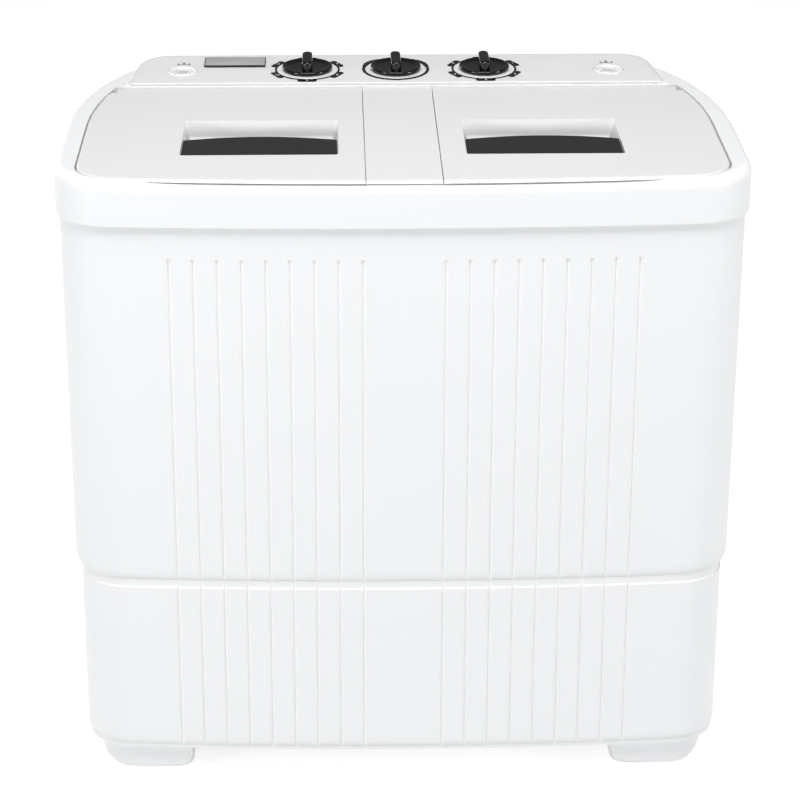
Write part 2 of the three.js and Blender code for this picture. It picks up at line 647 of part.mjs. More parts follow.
/** The bare plate between the left inlet and the wash timer. */
function badgePlate() {
  const plate = loft([
    ring(roundRect(-28.7, -12.4, 28.7, 12.4, 0.6, 1), 0), ring(roundRect(-28.7, -12.4, 28.7, 12.4, 0.6, 1), 1.4),
    ring(roundRect(-27.9, -11.6, 27.9, 11.6, 0.6, 1), 2),
  ]);
  return onConsole(plate, -150.7, 142, GAP);
}

// ---- Wash side: tub, pulsator and belt drive ----

/** The wash tub's plan: square to the machine, with the back corner rounded to clear the cabinet's. */
function washTubOutline(shrink) {
  const [x0, y0, x1, y1] = [-270 + shrink, -157 + shrink, -25 - shrink, 134 - shrink];
  const corner = (cx, cy, r, from) => arc(cx, cy, r, r, from, from + Math.PI / 2, 4);
  const [small, large] = [28 - shrink, 64 - shrink];
  return [
    ...corner(x1 - small, y0 + small, small, -Math.PI / 2),
    ...corner(x1 - small, y1 - small, small, 0),
    ...corner(x0 + large, y1 - large, large, Math.PI / 2),
    ...corner(x0 + small, y0 + small, small, Math.PI),
  ];
}

const WASH_DRAIN = new THREE.Vector2(-52, -112);
const PULSATOR_RADIUS = 86;

function washTub() {
  const { x, y } = WASH_AXIS;
  const level = (shrink, z) => ring(washTubOutline(shrink), z);
  const outer = loft([
    level(12, TUB_FLOOR - WALL), level(3, TUB_FLOOR + 2), level(0, TUB_FLOOR + 12), level(0, TUB_RIM),
  ]);
  const inner = loft([
    level(14, TUB_FLOOR), level(5.5, TUB_FLOOR + 4), level(WALL, TUB_FLOOR + 13), level(WALL, TUB_RIM + 1),
  ]);
  const flange = common(prism(washTubOutline(-6), TUB_RIM - 2.5, TUB_RIM),
    prism(planOutline(moreInset(CABINET_INSET, WALL + 0.6)), TUB_RIM - 10, TUB_RIM + 10));
  const sump = post(x, y, TUB_FLOOR - 9, TUB_FLOOR - 1, 92, 24);
  const sumpHollow = post(x, y, TUB_FLOOR - 6, TUB_FLOOR + 1, PULSATOR_RADIUS + 3, 24);
  const shaftHole = post(x, y, TUB_FLOOR - 12, TUB_FLOOR, 13, 16);
  const spigot = post(WASH_DRAIN.x, WASH_DRAIN.y, TUB_FLOOR - 24, TUB_FLOOR - 1, 14, 16);
  const drain = post(WASH_DRAIN.x, WASH_DRAIN.y, TUB_FLOOR - 25, TUB_FLOOR + 2, 11.5, 16);
  return cut(join(outer, flange, sump, spigot), inner, sumpHollow, shaftHole, drain);
}

/** The pulsator: a flat dish with a domed hub and six swept fins. */
function pulsator() {
  const base = TUB_FLOOR - 3;
  const dish = turned([
    [0, 0], [PULSATOR_RADIUS - 1, 0], [PULSATOR_RADIUS, 3], [PULSATOR_RADIUS - 3, 5],
    [34, 7], [20, 13], [12, 22], [0, 24.5],
  ], 24);
  const under = turned([
    [0, 3], [PULSATOR_RADIUS + 9, 3], [PULSATOR_RADIUS - 6, 4], [60, 13], [18, 22], [0, 22],
  ], 24);
  const finOutline = (turn) => {
    const edge = (offset) => Array.from({ length: 5 }, (_, i) => {
      const t = i / 4;
      const a = turn + 0.75 * t + offset / (14 + 68 * t);
      return new THREE.Vector2(14 + 68 * t, 0).rotateAround(new THREE.Vector2(), a);
    });
    return [...edge(-2.6), ...edge(2.6).reverse()];
  };
  const fins = Array.from({ length: 6 }, (_, i) => common(prism(finOutline(i * Math.PI / 3), 3, 24), under));
  return join(dish, ...fins).translate(WASH_AXIS.x, WASH_AXIS.y, base);
}

const PULSATOR_SHAFT = 6;

const pulsatorShaft = () => post(WASH_AXIS.x, WASH_AXIS.y, BELT_HEIGHT - 14, TUB_FLOOR - 3.3, PULSATOR_SHAFT, 12);

function bearingHousing() {
  return turned([
    [PULSATOR_SHAFT + GAP + 0.2, 118], [13, 118], [17, 186], [38, 198], [38, 204.6],
    [11, 204.6], [11, 207.5], [PULSATOR_SHAFT + GAP + 0.2, 207.5],
  ], 16).translate(WASH_AXIS.x, WASH_AXIS.y, 0);
}

/** Half the belt's height, and a belt pulley's profile round its shaft. */
const BELT_HALF = 4.5;
const pulleyRim = (radius, bore, webHalf) => [
  [bore, -10], [bore + 6, -10], [bore + 6, -webHalf], [radius - 9, -webHalf], [radius + 5, -7],
  [radius, -5], [radius, 5], [radius + 5, 7], [radius - 9, webHalf], [bore + 6, webHalf],
  [bore + 6, 10], [bore, 10],
];

function drivenPulley() {
  const wheel = turned(pulleyRim(DRIVEN_PULLEY_RADIUS, PULSATOR_SHAFT + GAP, 2.5), 24);
  const windows = Array.from({ length: 5 }, (_, i) => {
    const centre = i * 2 * Math.PI / 5;
    const loop = [
      ...arc(0, 0, 60, 60, centre - 0.5, centre + 0.5, 2),
      ...arc(0, 0, 24, 24, centre + 0.32, centre - 0.32, 1),
    ];
    return prism(loop, -5, 5);
  });
  return cut(wheel, ...windows).translate(WASH_AXIS.x, WASH_AXIS.y, BELT_HEIGHT);
}

function motorPulley() {
  const r = MOTOR_PULLEY_RADIUS;
  const wheel = turned([
    [0, -7], [r + 5, -7], [r, -5], [r, 5], [r + 5, 7], [r - 7, 7], [5.5, 10], [5.5, 22], [0, 22],
  ], 18);
  return wheel.translate(WASH_MOTOR_AXIS.x, WASH_MOTOR_AXIS.y, BELT_HEIGHT);
}

/** The loop of a belt's surface that lies `out` beyond the two pulleys' grooves. */
function beltLoop(out) {
  const span = WASH_MOTOR_AXIS.clone().sub(WASH_AXIS);
  const heading = span.angle();
  const [big, small] = [DRIVEN_PULLEY_RADIUS + out, MOTOR_PULLEY_RADIUS + out];
  const wrap = Math.acos((big - small) / span.length());
  const turn = 2 * Math.PI;
  return [
    ...arc(WASH_AXIS.x, WASH_AXIS.y, big, big, heading + wrap, heading + turn - wrap, 20),
    ...arc(WASH_MOTOR_AXIS.x, WASH_MOTOR_AXIS.y, small, small, heading - wrap, heading + wrap, 7),
  ];
}

function driveBelt() {
  const [z0, z1] = [BELT_HEIGHT - BELT_HALF, BELT_HEIGHT + BELT_HALF];
  return cut(prism(beltLoop(5), z0, z1), prism(beltLoop(0.5), z0 - 1, z1 + 1));
}

const WASH_MOTOR = { bottom: 95, top: 188, r: 50 };
const motorLegs = [[50, 8], [-20, 54], [14, -52]];

function washMotor() {
  const { bottom, top, r } = WASH_MOTOR;
  const can = turned([
    [0, bottom + 4], [5.9, bottom + 4], [5.9, bottom], [30, bottom], [r, bottom + 12],
    [r, bottom + 32], [r - 3, bottom + 33], [r - 3, top - 33], [r, top - 32], [r, top - 12],
    [16, top], [0, top],
  ], 20);
  return can.translate(WASH_MOTOR_AXIS.x, WASH_MOTOR_AXIS.y, 0);
}

/** The pressed bracket under the wash motor, with its three legs on the plinth's floor. */
function washMotorBracket() {
  const { x, y } = WASH_MOTOR_AXIS;
  const [z0, z1] = [WASH_MOTOR.bottom - 4.3, WASH_MOTOR.bottom - GAP];
  const arms = motorLegs.map(([dx, dy]) => {
    const along = new THREE.Vector2(dx, dy);
    const arm = prism(roundRect(0, -10, along.length() + 9, 10, 7, 2), z0, z1);
    return arm.rotateZ(along.angle()).translate(x, y, 0);
  });
  const legs = motorLegs.map(([dx, dy]) =>
    post(x + dx, y + dy, FOOT_HEIGHT + FLOOR_THICKNESS + GAP, z1 - 1, 5.5, 8));
  return cut(join(post(x, y, z0, z1, 38, 16), ...arms, ...legs), post(x, y, z0 - 1, z1 + 1, 14, 16));
}

/** The slotted cover over the overflow channel on the tub's inner wall. */
function overflowCover() {
  const [x1, y0, y1, z0, z1] = [-25 - WALL - GAP, 12, 78, 246, 470];
  const inside = block(x1 - 12.8, y0 + 2.2, z0 - 1, x1 + 1, y1 - 2.2, z1 - 2.2);
  const shell = cut(block(x1 - 15, y0, z0, x1, y1, z1), inside);
  const slots = Array.from({ length: 9 }, (_, i) =>
    block(x1 - 16, y0 + 12, z0 + 20 + i * 20, x1 - 10, y1 - 12, z0 + 25 + i * 20));
  return cut(shell, ...slots);
}

/** The lint filter: a frame on the back wall with its mesh bag hanging in front. */
function lintFilter() {
  const back = 134 - WALL - GAP;
  const netWindow = block(-188, back - 7, 446, -120, back + 1, 498);
  const frame = cut(block(-196, back - 6, 392, -112, back, 506), netWindow);
  const bag = loft([
    ring(roundRect(-178, back - 20, -130, back - 3, 6, 2), 372),
    ring(roundRect(-184, back - 30, -124, back - 3, 8, 2), 400),
    ring(roundRect(-186, back - 24, -122, back - 3, 8, 2), 444),
  ]);
  return join(frame, bag);
}

// ---- Spin side: outer tub, perforated basket, brake and hung motor ----

const SPIN_TUB_RADIUS = 114;
const SPIN_MOUTH = 90;
const BASKET = { radius: 99, bottom: 216, top: 506, mouth: 82 };
const RING_HEIGHT = 12;
const SPIN_SHAFT = 7;
const SPIN_DRAIN = SPIN_AXIS.clone().add(new THREE.Vector2(-80, -44));
const BRAKE_PIVOT = SPIN_AXIS.clone().add(new THREE.Vector2(62, 26));
const BRAKE = { radius: 46, z0: 166, z1: 192 };

function spinTub() {
  const { x, y } = SPIN_AXIS;
  const R = SPIN_TUB_RADIUS;
  const floor = TUB_FLOOR - 8;
  const shell = turned([
    [R - 10, floor - WALL], [R, floor + 8], [R, TUB_RIM], [R - WALL, TUB_RIM],
    [R - WALL, floor + 9], [R - 11, floor], [33, floor], [33, floor - WALL],
  ], 28).translate(x, y, 0);
  const flange = cut(prism(openingOutline(1, 6), TUB_RIM - 2.5, TUB_RIM), post(x, y, 0, 600, SPIN_MOUTH, 28));
  const brakePost = post(BRAKE_PIVOT.x, BRAKE_PIVOT.y, BRAKE.z0 + 2, floor - 1, 4, 10);
  const spigot = post(SPIN_DRAIN.x, SPIN_DRAIN.y, floor - 16, floor - 1, 13, 14);
  const drain = post(SPIN_DRAIN.x, SPIN_DRAIN.y, floor - 17, floor + 2, 10.5, 14);
  return cut(join(shell, flange, brakePost, spigot), drain);
}

/** The spin basket: a turned drum on a hub cone, pierced all over its wall by staggered rows of holes. */
function spinBasket() {
  const { radius: R, bottom, top } = BASKET;
  const rim = top - RING_HEIGHT - GAP;
  const drum = turned([
    [SPIN_SHAFT + GAP, bottom], [22, bottom], [40, bottom + 3], [R - 9, bottom + 3],
    [R, bottom + 18], [R + 1.5, rim], [R - 1, rim], [R - 2.2, bottom + 19], [R - 10, bottom + 5.4],
    [42, bottom + 5.4], [26, bottom + 10], [16, bottom + 46], [SPIN_SHAFT + GAP, bottom + 46],
  ], 24);
  const rows = 5;
  const perHalf = 6;
  const holes = Array.from({ length: rows }, (_, row) =>
    Array.from({ length: perHalf }, (_, i) => {
      const turn = (i + 0.25 + (row % 2) / 2) * Math.PI / perHalf;
      const pin = new THREE.CylinderGeometry(4, 4, 2 * R + 10, 5);
      return pin.rotateZ(Math.PI / 2).rotateZ(turn).translate(0, 0, bottom + 70 + row * 42);
    })).flat();
  return cut(drum, ...holes).translate(SPIN_AXIS.x, SPIN_AXIS.y, 0);
}

/** The balance ring welded on the basket's rim, which narrows its mouth so that washing can't climb out. */
function balanceRing() {
  const { radius: R, top, mouth } = BASKET;
  return turned([
    [R + 1.5, top - RING_HEIGHT], [R + 1.5, top - 10], [mouth + 3, top], [mouth, top - 1.5],
    [mouth, top - 5], [R - 1, top - RING_HEIGHT],
  ], 24).translate(SPIN_AXIS.x, SPIN_AXIS.y, 0);
}

/** The loose safety plate that is laid on the washing, resting on the hub while the basket is empty. */
function safetyPlate() {
  const z = BASKET.bottom + 46 + GAP;
  const plate = turned([[10.5, z], [78, z], [78, z + 4], [75, z + 4], [74, z + 2.2], [10.5, z + 2.2]], 24);
  const slots = Array.from({ length: 6 }, (_, i) => {
    const a = i * Math.PI / 3;
    return prism(roundRect(34, -5, 60, 5, 4.5, 1), z - 1, z + 5).rotateZ(a);
  });
  return cut(plate, ...slots).translate(SPIN_AXIS.x, SPIN_AXIS.y, 0);
}

/** The spin shaft with the cap nut that holds the basket on its cone. */
function spinShaft() {
  const top = BASKET.bottom + 46 + GAP;
  return turned([
    [0, 146], [SPIN_SHAFT, 146], [SPIN_SHAFT, top], [9.8, top], [9.8, top + 6], [7, top + 9], [0, top + 9],
  ], 14).translate(SPIN_AXIS.x, SPIN_AXIS.y, 0);
}

function brakeDrum() {
  const { radius: R, z0, z1 } = BRAKE;
  const bore = SPIN_SHAFT + GAP;
  return turned([
    [bore, z0 - 10], [15, z0 - 10], [15, z0], [R, z0], [R, z1], [R - 4, z1], [R - 4, z0 + 5],
    [17, z0 + 5], [17, z1 - 2], [bore, z1 - 2],
  ], 20).translate(SPIN_AXIS.x, SPIN_AXIS.y, 0);
}

/** The brake's lever: a flat arm on its pivot, a curved shoe beside the drum and a tail for the cable. */
function brakeArm() {
  const rim = BRAKE.radius + 1;
  const shoeAt = 0.52;
  const shoeEnd = shoeAt + 0.85;
  const shoe = [...arc(0, 0, rim + 7, rim + 7, shoeAt, shoeEnd, 6), ...arc(0, 0, rim, rim, shoeEnd, shoeAt, 6)];
  const pivot = BRAKE_PIVOT.clone().sub(SPIN_AXIS);
  const z = BRAKE.z0 + 8;
  const eye = post(pivot.x, pivot.y, z, z + 5, 8, 16);
  const tail = prism(roundRect(-6, -4, 6, 34, 4, 2), z, z + 5).translate(pivot.x, pivot.y, 0);
  const link = block(rim * Math.cos(shoeAt + 0.1) + 5.5, pivot.y - 5, z, pivot.x, pivot.y + 5, z + 5);
  const pivotHole = post(pivot.x, pivot.y, 0, 300, 4.4, 12);
  const arm = cut(join(prism(shoe, z - 3, z + 8), link, eye, tail), pivotHole);
  return arm.translate(SPIN_AXIS.x, SPIN_AXIS.y, 0);
}

/** The rubber bellows that seals the tub's floor and lets the shaft sway. */
function bellowsSeal() {
  return turned([
    [8.2, 196], [13, 195.5], [18, 199], [23, 195.5], [40, 200.2], [40, 203.2],
    [32.6, 203.2], [32.6, 209], [28, 209], [23, 200.5], [18, 204], [13, 200.5], [8.2, 200.5],
  ], 14).translate(SPIN_AXIS.x, SPIN_AXIS.y, 0);
}

const SPIN_MOTOR = { bottom: 58, top: 150, r: 55 };
const springPlaces = [0, 1, 2].map((i) => ({ angle: Math.PI / 2 + i * 2 * Math.PI / 3, r: 62 }));

function spinMotor() {
  const { bottom, top, r } = SPIN_MOTOR;
  return turned([
    [0, bottom], [r - 10, bottom], [r, bottom + 10], [r, bottom + 34], [r - 3, bottom + 35],
    [r - 3, top - 35], [r, top - 34], [r, top - 12], [20, top], [SPIN_SHAFT + 1, top],
    [SPIN_SHAFT + 1, top - 7], [0, top - 7],
  ], 20).translate(SPIN_AXIS.x, SPIN_AXIS.y, 0);
}

/** The three-armed plate between the spin motor and its springs. */
function spinMotorPlate() {
  const { bottom } = SPIN_MOTOR;
  const arms = springPlaces.map(({ angle, r }) =>
    prism(roundRect(0, -14, r + 14, 14, 12, 2), bottom - 3.8, bottom - GAP).rotateZ(angle));
  const pegs = springPlaces.map(({ angle, r }) =>
    post(r * Math.cos(angle), r * Math.sin(angle), bottom - 11, bottom - 3, 4, 8));
  return join(post(0, 0, bottom - 3.8, bottom - GAP, 42, 16), ...arms, ...pegs)
    .translate(SPIN_AXIS.x, SPIN_AXIS.y, 0);
}

/** A coil spring: a round wire carried up a helix. */
class Helix extends THREE.Curve {
  constructor(radius, height, turns) {
    super();
    Object.assign(this, { radius, height, turns });
  }

  getPoint(t, target = new THREE.Vector3()) {
    const a = 2 * Math.PI * this.turns * t;
    return target.set(this.radius * Math.cos(a), this.radius * Math.sin(a), this.height * t);
  }
}

/** A solid tube along a curve. */
function tube(curve, radius, sides, steps) {
  const section = new THREE.Shape(arc(0, 0, radius, radius, 0, 2 * Math.PI, sides).slice(0, -1));
  const geometry = new THREE.ExtrudeGeometry(section, { steps, bevelEnabled: false, extrudePath: curve });
  return toSolid(geometry).volume() > 0 ? geometry : flipped(geometry.index ? geometry : indexed(geometry));
}

const indexed = (geometry) => {
  const bare = geometry.clone();
  bare.deleteAttribute('normal');
  bare.deleteAttribute('uv');
  return mergeVertices(bare, 1e-4);
};

function motorSpring({ angle, r }) {
  const wire = 1.6;
  const z0 = FOOT_HEIGHT + FLOOR_THICKNESS + GAP + wire;
  const z1 = SPIN_MOTOR.bottom - 3.8 - GAP - wire;
  return tube(new Helix(8, z1 - z0, 3), wire, 4, 24)
    .translate(SPIN_AXIS.x + r * Math.cos(angle), SPIN_AXIS.y + r * Math.sin(angle), z0);
}

// ---- Drain, electrics and the back ----

const VALVE = { x0: 14, x1: 52, y0: -134, y1: -96, z0: 112, z1: 166 };
const valveX = (VALVE.x0 + VALVE.x1) / 2;
const valveY = (VALVE.y0 + VALVE.y1) / 2;
const DRAIN_OUTLET = { x: 44, z: 54, r: 13 };
const CORD_GLAND = { x: -150, z: 130, r: 7 };

/** The drain valve's body with the two arms that reach the tubs' spigots. */
function drainValveBox() {
  const { x0, x1, y0, y1, z0, z1 } = VALVE;
  const box = prism(roundRect(x0, y0, x1, y1, 8, 3), z0, z1);
  const arm = (drain, mouth) => tube(new THREE.CatmullRomCurve3([
    new THREE.Vector3(drain.x, drain.y, mouth),
    new THREE.Vector3(drain.x, drain.y, mouth - 10),
    new THREE.Vector3(THREE.MathUtils.lerp(drain.x, valveX, 0.35), drain.y * 0.7 + valveY * 0.3, 146),
    new THREE.Vector3(valveX, valveY, 140),
  ]), 11, 8, 6);
  const arms = [arm(WASH_DRAIN, TUB_FLOOR - 24.4), arm(SPIN_DRAIN, TUB_FLOOR - 24.4)];
  const seat = post(valveX, valveY, z1 - 14, z1 + 1, 7, 14);
  return cut(join(box, ...arms), seat);
}

/** The valve's plunger, which the selector's strap lifts to let the tub drain. */
function drainPlunger() {
  const z = VALVE.z1;
  return turned([
    [0, z - 13], [6.4, z - 13], [6.4, z - 5], [3, z - 3], [3, z + 12], [5, z + 13], [5, z + 17], [0, z + 17],
  ], 12).translate(valveX, valveY, 0);
}

/** The pipe from the valve along the floor to the outlet in the plinth's back. */
function drainPipe() {
  const { x, z, r } = DRAIN_OUTLET;
  const path = new THREE.CatmullRomCurve3([
    new THREE.Vector3(valveX, valveY, VALVE.z0 - 1.2),
    new THREE.Vector3(valveX, valveY + 1, z + 30),
    new THREE.Vector3(valveX + 4, valveY + 30, z + 2),
    new THREE.Vector3(x, valveY + 90, z),
    new THREE.Vector3(x, DEPTH / 2 - 30, z),
    new THREE.Vector3(x, DEPTH / 2 - 2, z),
  ]);
  const bore = barY(x, DEPTH / 2 - 45, DEPTH / 2, z, r - 2.5, 12);
  return cut(tube(path, r, 10, 14), bore);
}

/** The rubber bush where the mains lead enters; its bore is open. */
function cordGland() {
  const { x, z, r } = CORD_GLAND;
  const wall = DEPTH / 2 - PLINTH_INSET.back;
  return turned([
    [3.6, 0], [r + 3, 0], [r + 3, 3], [r, 3.2], [r, 7.4], [r + 2, 7.4], [r - 1, 12], [3.6, 12],
  ], 16).rotateX(-Math.PI / 2).translate(x, wall - 7, z);
}

/** The two-section motor capacitor on its base. */
function motorCapacitor() {
  const floor = FOOT_HEIGHT + FLOOR_THICKNESS + GAP;
  const can = post(104, 112, floor + 2, floor + 62, 19, 24);
  const base = prism(roundRect(74, 92, 134, 132, 6, 2), floor, floor + 3);
  const terminals = [-7, 7].map((dx) => block(104 + dx - 2, 108, floor + 61, 104 + dx + 2, 116, floor + 70));
  return join(can, base, ...terminals);
}

/** The service cover in the cabinet's back, with its rows of cooling louvres. */
function rearCover() {
  const { x, z0, z1 } = SERVICE_OPENING;
  const outer = DEPTH / 2 - CABINET_INSET.back;
  const plate = block(-x + GAP, outer - WALL, z0 + GAP, x - GAP, outer, z1 - GAP);
  const rim = cut(block(-x - 8, outer - WALL - 2.3, z0 - 8, x + 8, outer - WALL - GAP, z1 + 8),
    block(-x + 14, outer - 20, z0 + 14, x - 14, outer, z1 - 14));
  const joinStrip = cut(block(-x + 1, outer - WALL - 1, z0 + 1, x - 1, outer - WALL + 0.5, z1 - 1),
    block(-x + 9, outer - 20, z0 + 9, x - 9, outer + 20, z1 - 9));
  const louvres = [-1, 1].flatMap((s) => Array.from({ length: 6 }, (_, i) => {
    const z = z0 + 30 + i * 12;
    return block(s * 70 - 45, outer - 20, z, s * 70 + 45, outer + 5, z + 4);
  }));
  return cut(join(plate, rim, joinStrip), ...louvres);
}

// ---- The assembled machine ----

const machine = new THREE.Group();

/** Adds one named piece to the machine. */
function add(name, geometry, finish) {
  const mesh = new THREE.Mesh(geometry, new THREE.MeshStandardMaterial(finishes[finish]));
  mesh.name = name;
  machine.add(mesh);
  return mesh;
}

/** Adds a piece of the console that turns, built round its own axis. */
function addOnConsole(name, geometry, finish, x) {
  const mesh = add(name, geometry, finish);
  mesh.position.set(x, KNOB_Y, consoleTop(KNOB_Y));
  mesh.rotation.x = CONSOLE_SLOPE;
}

add('cabinet_shell', cabinetShell(), 'white_plastic');
add('plinth', plinthShell(), 'white_plastic');
footPlaces.forEach((place) => add(`foot_${place.name}`, foot(place), 'white_plastic'));
add('top_deck', topDeck(), 'white_plastic');
add('centre_strip', centreStrip(), 'light_grey_plastic');
[['wash', -1], ['spin', 1]].forEach(([name, side]) => {
  add(`${name}_lid`, lid(side), 'light_grey_plastic');
  add(`${name}_lid_grip`, gripBar(side), 'charcoal_plastic');
  add(`${name}_lid_hinge_rod`, hingeRod(side), 'steel');
});

add('console_housing', consoleHousing(), 'white_plastic');
add('badge_plate', badgePlate(), 'badge_metal');
add('left_water_inlet', waterInlet(-1), 'white_plastic');
add('right_water_inlet', waterInlet(1), 'white_plastic');
add('wash_timer_dial', timerDial(knobXs.wash), 'black_gloss');
add('selector_dial', selectorDial(), 'black_gloss');
add('spin_timer_dial', timerDial(knobXs.spin), 'black_gloss');
add('wash_timer', timerBody(knobXs.wash), 'charcoal_plastic');
add('spin_timer', timerBody(knobXs.spin), 'charcoal_plastic');
add('selector_mechanism', selectorBody(), 'charcoal_plastic');
[['wash_timer', 'wash'], ['selector', 'select'], ['spin_timer', 'spin']].forEach(([name, place]) => {
  addOnConsole(`${name}_knob`, knob(), 'black_gloss', knobXs[place]);
  addOnConsole(`${name}_shaft`, controlShaft(), 'steel', knobXs[place]);
});

add('wash_tub', washTub(), 'tub_plastic');
add('pulsator', pulsator(), 'blue_plastic');
add('pulsator_shaft', pulsatorShaft(), 'steel');
add('bearing_housing', bearingHousing(), 'cast_aluminium');
add('driven_pulley', drivenPulley(), 'cast_aluminium');
add('drive_belt', driveBelt(), 'black_rubber');
add('motor_pulley', motorPulley(), 'cast_aluminium');
add('wash_motor', washMotor(), 'motor_paint');
add('wash_motor_bracket', washMotorBracket(), 'steel');
add('overflow_cover', overflowCover(), 'blue_plastic');
add('lint_filter', lintFilter(), 'blue_plastic');

add('spin_tub', spinTub(), 'tub_plastic');
add('spin_basket', spinBasket(), 'white_plastic');
add('balance_ring', balanceRing(), 'blue_plastic');
add('spin_safety_plate', safetyPlate(), 'blue_plastic');
add('spin_shaft', spinShaft(), 'steel');
add('brake_drum', brakeDrum(), 'cast_aluminium');
add('brake_arm', brakeArm(), 'steel');
add('bellows_seal', bellowsSeal(), 'black_rubber');
add('spin_motor', spinMotor(), 'motor_paint');
add('spin_motor_plate', spinMotorPlate(), 'steel');
springPlaces.forEach((place, i) => add(`spin_motor_spring_${i + 1}`, motorSpring(place), 'steel'));

add('drain_valve_box', drainValveBox(), 'white_plastic');
add('drain_valve_plunger', drainPlunger(), 'black_rubber');
add('drain_pipe', drainPipe(), 'white_plastic');
add('cord_gland', cordGland(), 'black_rubber');
add('motor_capacitor', motorCapacitor(), 'charcoal_plastic');
add('rear_cover', rearCover(), 'white_plastic');

export default machine;
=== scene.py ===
# %% [markdown]
# # A compact twin-tub washing machine
# The machine is a moulded plastic cabinet round two tubs: a wash tub on the left and a spin basket on the
# right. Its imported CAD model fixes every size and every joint. This lesson gives the machine its finished
# surfaces: it replaces the outer mouldings with finer ones inside the same box, and gives each piece a finish.

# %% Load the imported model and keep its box
import json
import math

import bmesh
import bpy
import numpy as np
from mathutils import Matrix, Vector

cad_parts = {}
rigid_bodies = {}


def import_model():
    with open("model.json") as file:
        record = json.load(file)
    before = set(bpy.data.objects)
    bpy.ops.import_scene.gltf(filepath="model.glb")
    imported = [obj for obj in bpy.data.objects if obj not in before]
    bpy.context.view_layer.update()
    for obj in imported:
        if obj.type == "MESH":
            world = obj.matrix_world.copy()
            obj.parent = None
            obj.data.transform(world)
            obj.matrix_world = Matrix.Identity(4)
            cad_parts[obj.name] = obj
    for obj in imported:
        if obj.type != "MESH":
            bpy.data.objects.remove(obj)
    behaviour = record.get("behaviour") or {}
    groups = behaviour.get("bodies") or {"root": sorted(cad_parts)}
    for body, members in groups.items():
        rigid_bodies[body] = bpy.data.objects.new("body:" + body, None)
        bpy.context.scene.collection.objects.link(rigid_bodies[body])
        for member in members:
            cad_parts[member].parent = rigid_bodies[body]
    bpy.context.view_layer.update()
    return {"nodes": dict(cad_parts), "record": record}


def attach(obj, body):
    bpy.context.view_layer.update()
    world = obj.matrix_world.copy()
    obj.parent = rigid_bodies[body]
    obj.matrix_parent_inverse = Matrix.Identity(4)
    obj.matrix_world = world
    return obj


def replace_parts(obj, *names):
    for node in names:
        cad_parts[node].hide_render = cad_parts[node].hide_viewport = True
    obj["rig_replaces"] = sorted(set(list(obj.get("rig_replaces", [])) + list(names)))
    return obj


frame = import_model()
MM = 0.001
WIDTH, DEPTH, RIM = 590.0, 360.0, 551.0     # the collar's plan, and the deck's height at its front
DECK_RISE = math.tan(math.radians(5))       # the deck's rise to the back, per millimetre of depth


def stand(name, data):
    """An object for a mesh, lamp, camera or curve, linked to the scene."""
    thing = bpy.data.objects.new(name, data)
    bpy.context.scene.collection.objects.link(thing)
    return thing


# %% [markdown]
# ## Camera
# A catalogue picture of an appliance is taken from a little above with a long lens, so that its upright
# edges stay nearly upright. Its view is turned from +Y, tipped down and rolled about itself, and those three
# angles are written out as the camera's own axes: right, up and back.

# %% Place the camera
CAMERA_PLACE = Vector((-0.0588, -2.0612, 1.0589))
TURN, TIP, ROLL = 0.01134, 0.33734, -0.00249      # radians
FOCAL_RATIO = 2.9638                              # focal length over the sensor's width

camera = stand("view_camera", bpy.data.cameras.new("view_camera"))
ahead = Vector((math.sin(TURN) * math.cos(TIP), math.cos(TURN) * math.cos(TIP), -math.sin(TIP)))
level = Vector((math.cos(TURN), -math.sin(TURN), 0.0))
right = level * math.cos(ROLL) + level.cross(ahead) * math.sin(ROLL)
axes = right, right.cross(ahead), -ahead
camera.matrix_world = Matrix.Translation(CAMERA_PLACE) @ Matrix(axes).transposed().to_4x4()
camera.data.sensor_width = 36.0
camera.data.lens = 36.0 * FOCAL_RATIO
camera.data.shift_x, camera.data.shift_y = 0.05, -0.05
bpy.context.scene.camera = camera
print("camera", round(camera.data.lens, 1), "mm lens, up axis", [round(v, 3) for v in axes[1]])

# %% [markdown]
# ## Light and floor
# White plastic needs soft light from large areas, or its highlights burn out. Two soft boxes stand level
# with the lids at the front, so that light grazes the grooves and the hand holds stay in shade. One hangs
# over the front, one lights the back, and the world fills in the rest, more dimly for mirror rays. To the
# camera and to mirror rays, the pale floor adds a little light of its own, so that it reads as white and
# still keeps the machine's soft shadow.

# %% Stand the soft boxes round the machine
def soft_box(name, place, aim, width, height, power):
    """An area lamp at a place, turned so that its -Z axis points at the aim; sizes in m, power in W."""
    lamp = bpy.data.lights.new(name, "AREA")
    lamp.shape = "RECTANGLE"
    lamp.size, lamp.size_y, lamp.energy = width, height, power
    holder = stand(name, lamp)
    holder.location = place
    holder.rotation_euler = (Vector(aim) - Vector(place)).to_track_quat("-Z", "Y").to_euler()


soft_box("left_soft_box", (-2.4, -1.8, 0.64), (0.0, -0.15, 0.66), 0.8, 0.45, 31.5)
soft_box("right_soft_box", (2.7, -1.3, 0.64), (0.0, -0.1, 0.66), 0.8, 0.45, 29.5)
soft_box("overhead_soft_box", (0.0, -0.85, 2.30), (0.0, 0.0, 0.5), 1.6, 1.0, 34.0)
soft_box("rear_soft_box", (-2.0, 2.4, 0.9), (0.0, 0.1, 0.4), 1.0, 0.9, 20.0)
print("four soft boxes")

# %% Node helpers
def shader_tree(data):
    """The cleared node tree of a material or world."""
    data.use_nodes = True
    data.node_tree.nodes.clear()
    return data.node_tree


def add_node(tree, kind, group=None, **inputs):
    """A node of a kind, or of a group, with constants set on the inputs named (underscores for spaces)."""
    node = tree.nodes.new("ShaderNode" + kind)
    if group:
        node.node_tree = group
    for key, value in inputs.items():
        node.inputs[key.replace("_", " ")].default_value = value
    return node


def connect(tree, *pairs):
    """A link for each pair of an output socket and an input socket."""
    for source, target in pairs:
        tree.links.new(source, target)


